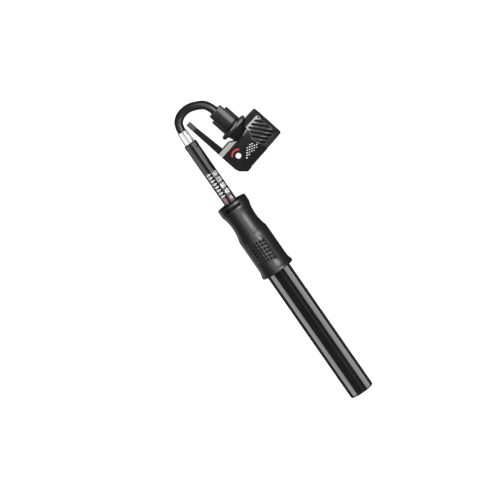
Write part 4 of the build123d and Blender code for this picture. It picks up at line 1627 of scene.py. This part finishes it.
LIGHTS = (
    Strip("barrel_right_strip", 0.70, 1.25, 0.65, 4.5, BARREL, angle=75.0),
    Strip("barrel_left_strip", 0.70, 1.25, 0.57, 4.5, BARREL, angle=-78.0),
    Strip("barrel_centre_strip", 1.6, 0.9, 0.25, 0.6, BARREL, angle=14.0),
    Strip("tube_right_strip", 0.50, 0.8, 0.86, 3.6, TUBE, angle=50.0),
    Strip("tube_left_strip", 0.45, 0.8, 0.70, 1.7, TUBE, angle=-76.0),
    Strip("ferrule_right_strip", 0.50, 0.8, 0.86, 1.3, FERRULE, angle=50.0),
    Strip("ferrule_left_strip", 0.45, 0.8, 0.96, 1.05, FERRULE, angle=-62.0),
    Strip("palm_softbox", 0.9, 0.8, 0.42, 12.5, RUBBER, angle=26.0),
    Strip("palm_fill_strip", 0.9, 0.8, 0.40, 2.2, RUBBER, angle=-14.0),
    Strip("palm_edge_strip", 0.6, 0.8, 0.36, 1.1, RUBBER, angle=-128.0),
    Card("joint_card", 0.5, 1.0, 0.72, 4.6, JOINT, towards=(0.0, 0.85, 0.5)),
    Card("mouth_side_card", 0.6, 0.34, 0.34, 12.0, HEAD, towards=(-1.0, 0.0, 0.22)),
    Card("sleeve_side_card", 0.6, 0.30, 0.40, 19.0, SLEEVE, towards=(-0.88, -0.02, 0.46)),
    Card("far_side_card", 0.7, 0.14, 0.14, 24.0, SLEEVE, towards=(0.70, -0.02, 0.71)),
    Card("ridge_card", 0.7, 0.6, 0.6, 13.0, SLEEVE, glossy=False, towards=(-0.5, 0.8, 0.55)),
    Strip("barrel_end_key", 1.2, 0.5, 0.6, 5.0, (*BARREL, *TUBE, *RUBBER), lean=43.0),
    Strip("grip_end_key", 1.2, 0.5, 0.6, 5.0, (*BARREL, *TUBE, *RUBBER), lean=-43.0),
    Strip("floor_wash", 2.0, 3.0, 3.0, 2.0, ("studio_floor",), shadow=False),
)


@dataclass
class Studio:
    """The floor, the lights, the room and the camera, in metres in the row frame."""

    shop: Workshop
    floor_z: float = -0.0161
    floor_size: float = 4.0
    floor_cells: int = 4
    room_light: float = 1.15
    room_in_gloss: float = 0.05
    distance: float = 3.106
    lens: float = 250.0
    sensor: float = 36.0
    sight: float = 20.0
    tilt: float = 6.0
    turn: tuple[float, float] = (0.5714, 0.8207)

    def build(self) -> None:
        """Makes the floor, the lights, the surroundings and the camera."""
        self.floor()
        for light in LIGHTS:
            light.build()
        for name in DARK_IN_GLOSS:
            bpy.data.objects[name].visible_glossy = False
        self.surroundings()
        self.camera()
        view = bpy.context.scene.view_settings
        view.view_transform = "Standard"
        view.look = "None"

    def floor(self) -> None:
        """Makes the pale floor."""
        bm = bmesh.new()
        cells = self.floor_cells
        bmesh.ops.create_grid(bm, x_segments=cells, y_segments=cells, size=self.floor_size)
        bmesh.ops.translate(bm, vec=(0, 0, self.floor_z), verts=bm.verts)
        mesh = bpy.data.meshes.new("studio_floor")
        bm.to_mesh(mesh)
        bm.free()
        mesh.materials.append(self.shop.paints.get(STUDIO_FLOOR))
        floor = bpy.data.objects.new("studio_floor", mesh)
        bpy.context.scene.collection.objects.link(floor)
        floor.visible_glossy = False
        floor.visible_shadow = False

    def surroundings(self) -> None:
        """Makes the room pale for soft light and dark in reflections."""
        world = bpy.data.worlds.new("studio_room")
        world.use_nodes = True
        nodes, links = world.node_tree.nodes, world.node_tree.links
        room = nodes["Background"]
        rays = nodes.new("ShaderNodeLightPath")
        level = nodes.new("ShaderNodeMapRange")
        level.inputs["To Min"].default_value = self.room_light
        level.inputs["To Max"].default_value = self.room_in_gloss
        links.new(rays.outputs["Is Glossy Ray"], level.inputs["Value"])
        links.new(level.outputs["Result"], room.inputs["Strength"])
        room.inputs["Color"].default_value = (1, 1, 1, 1)
        bpy.context.scene.world = world

    def camera(self) -> None:
        """Places the camera."""
        roll, tilt = math.radians(LAYOUT.roll), math.radians(self.tilt)
        side = Vector((0, math.cos(roll), -math.sin(roll)))
        above = Vector((0, math.sin(roll), math.cos(roll)))
        along = Vector((1, 0, 0))
        back = above * math.cos(tilt) - along * math.sin(tilt)
        level = along * math.cos(tilt) + above * math.sin(tilt)
        right = (level * self.turn[0] + side * self.turn[1]).normalized()
        up = back.cross(right)
        data = bpy.data.cameras.new("studio_camera")
        data.lens = self.lens
        data.sensor_width = self.sensor
        data.clip_end = self.sight
        camera = bpy.data.objects.new("studio_camera", data)
        bpy.context.scene.collection.objects.link(camera)
        place = Vector(AIM) + back * self.distance
        turn = Matrix((right, up, back)).transposed()
        camera.matrix_world = Matrix.Translation(place) @ turn.to_4x4()
        bpy.context.scene.camera = camera


def main() -> None:
    """Builds the pump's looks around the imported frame."""
    logging.basicConfig(level=logging.INFO, format="%(message)s")
    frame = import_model()
    shop = Workshop(Paintbox())
    CarriedParts(shop, frame["nodes"]).dress(frame["record"])
    Hose(shop).build()
    Grip(shop).build()
    GaugeTube(shop).build()
    HoseFerrule(shop).build()
    GaugeScale(shop).build()
    GaugeCoil(shop).build()
    HeadSleeve(shop).build()
    HousingDots(shop).build()
    ThumbPad(shop).build()
    Studio(shop).build()


if __name__ == "__main__":
    main()
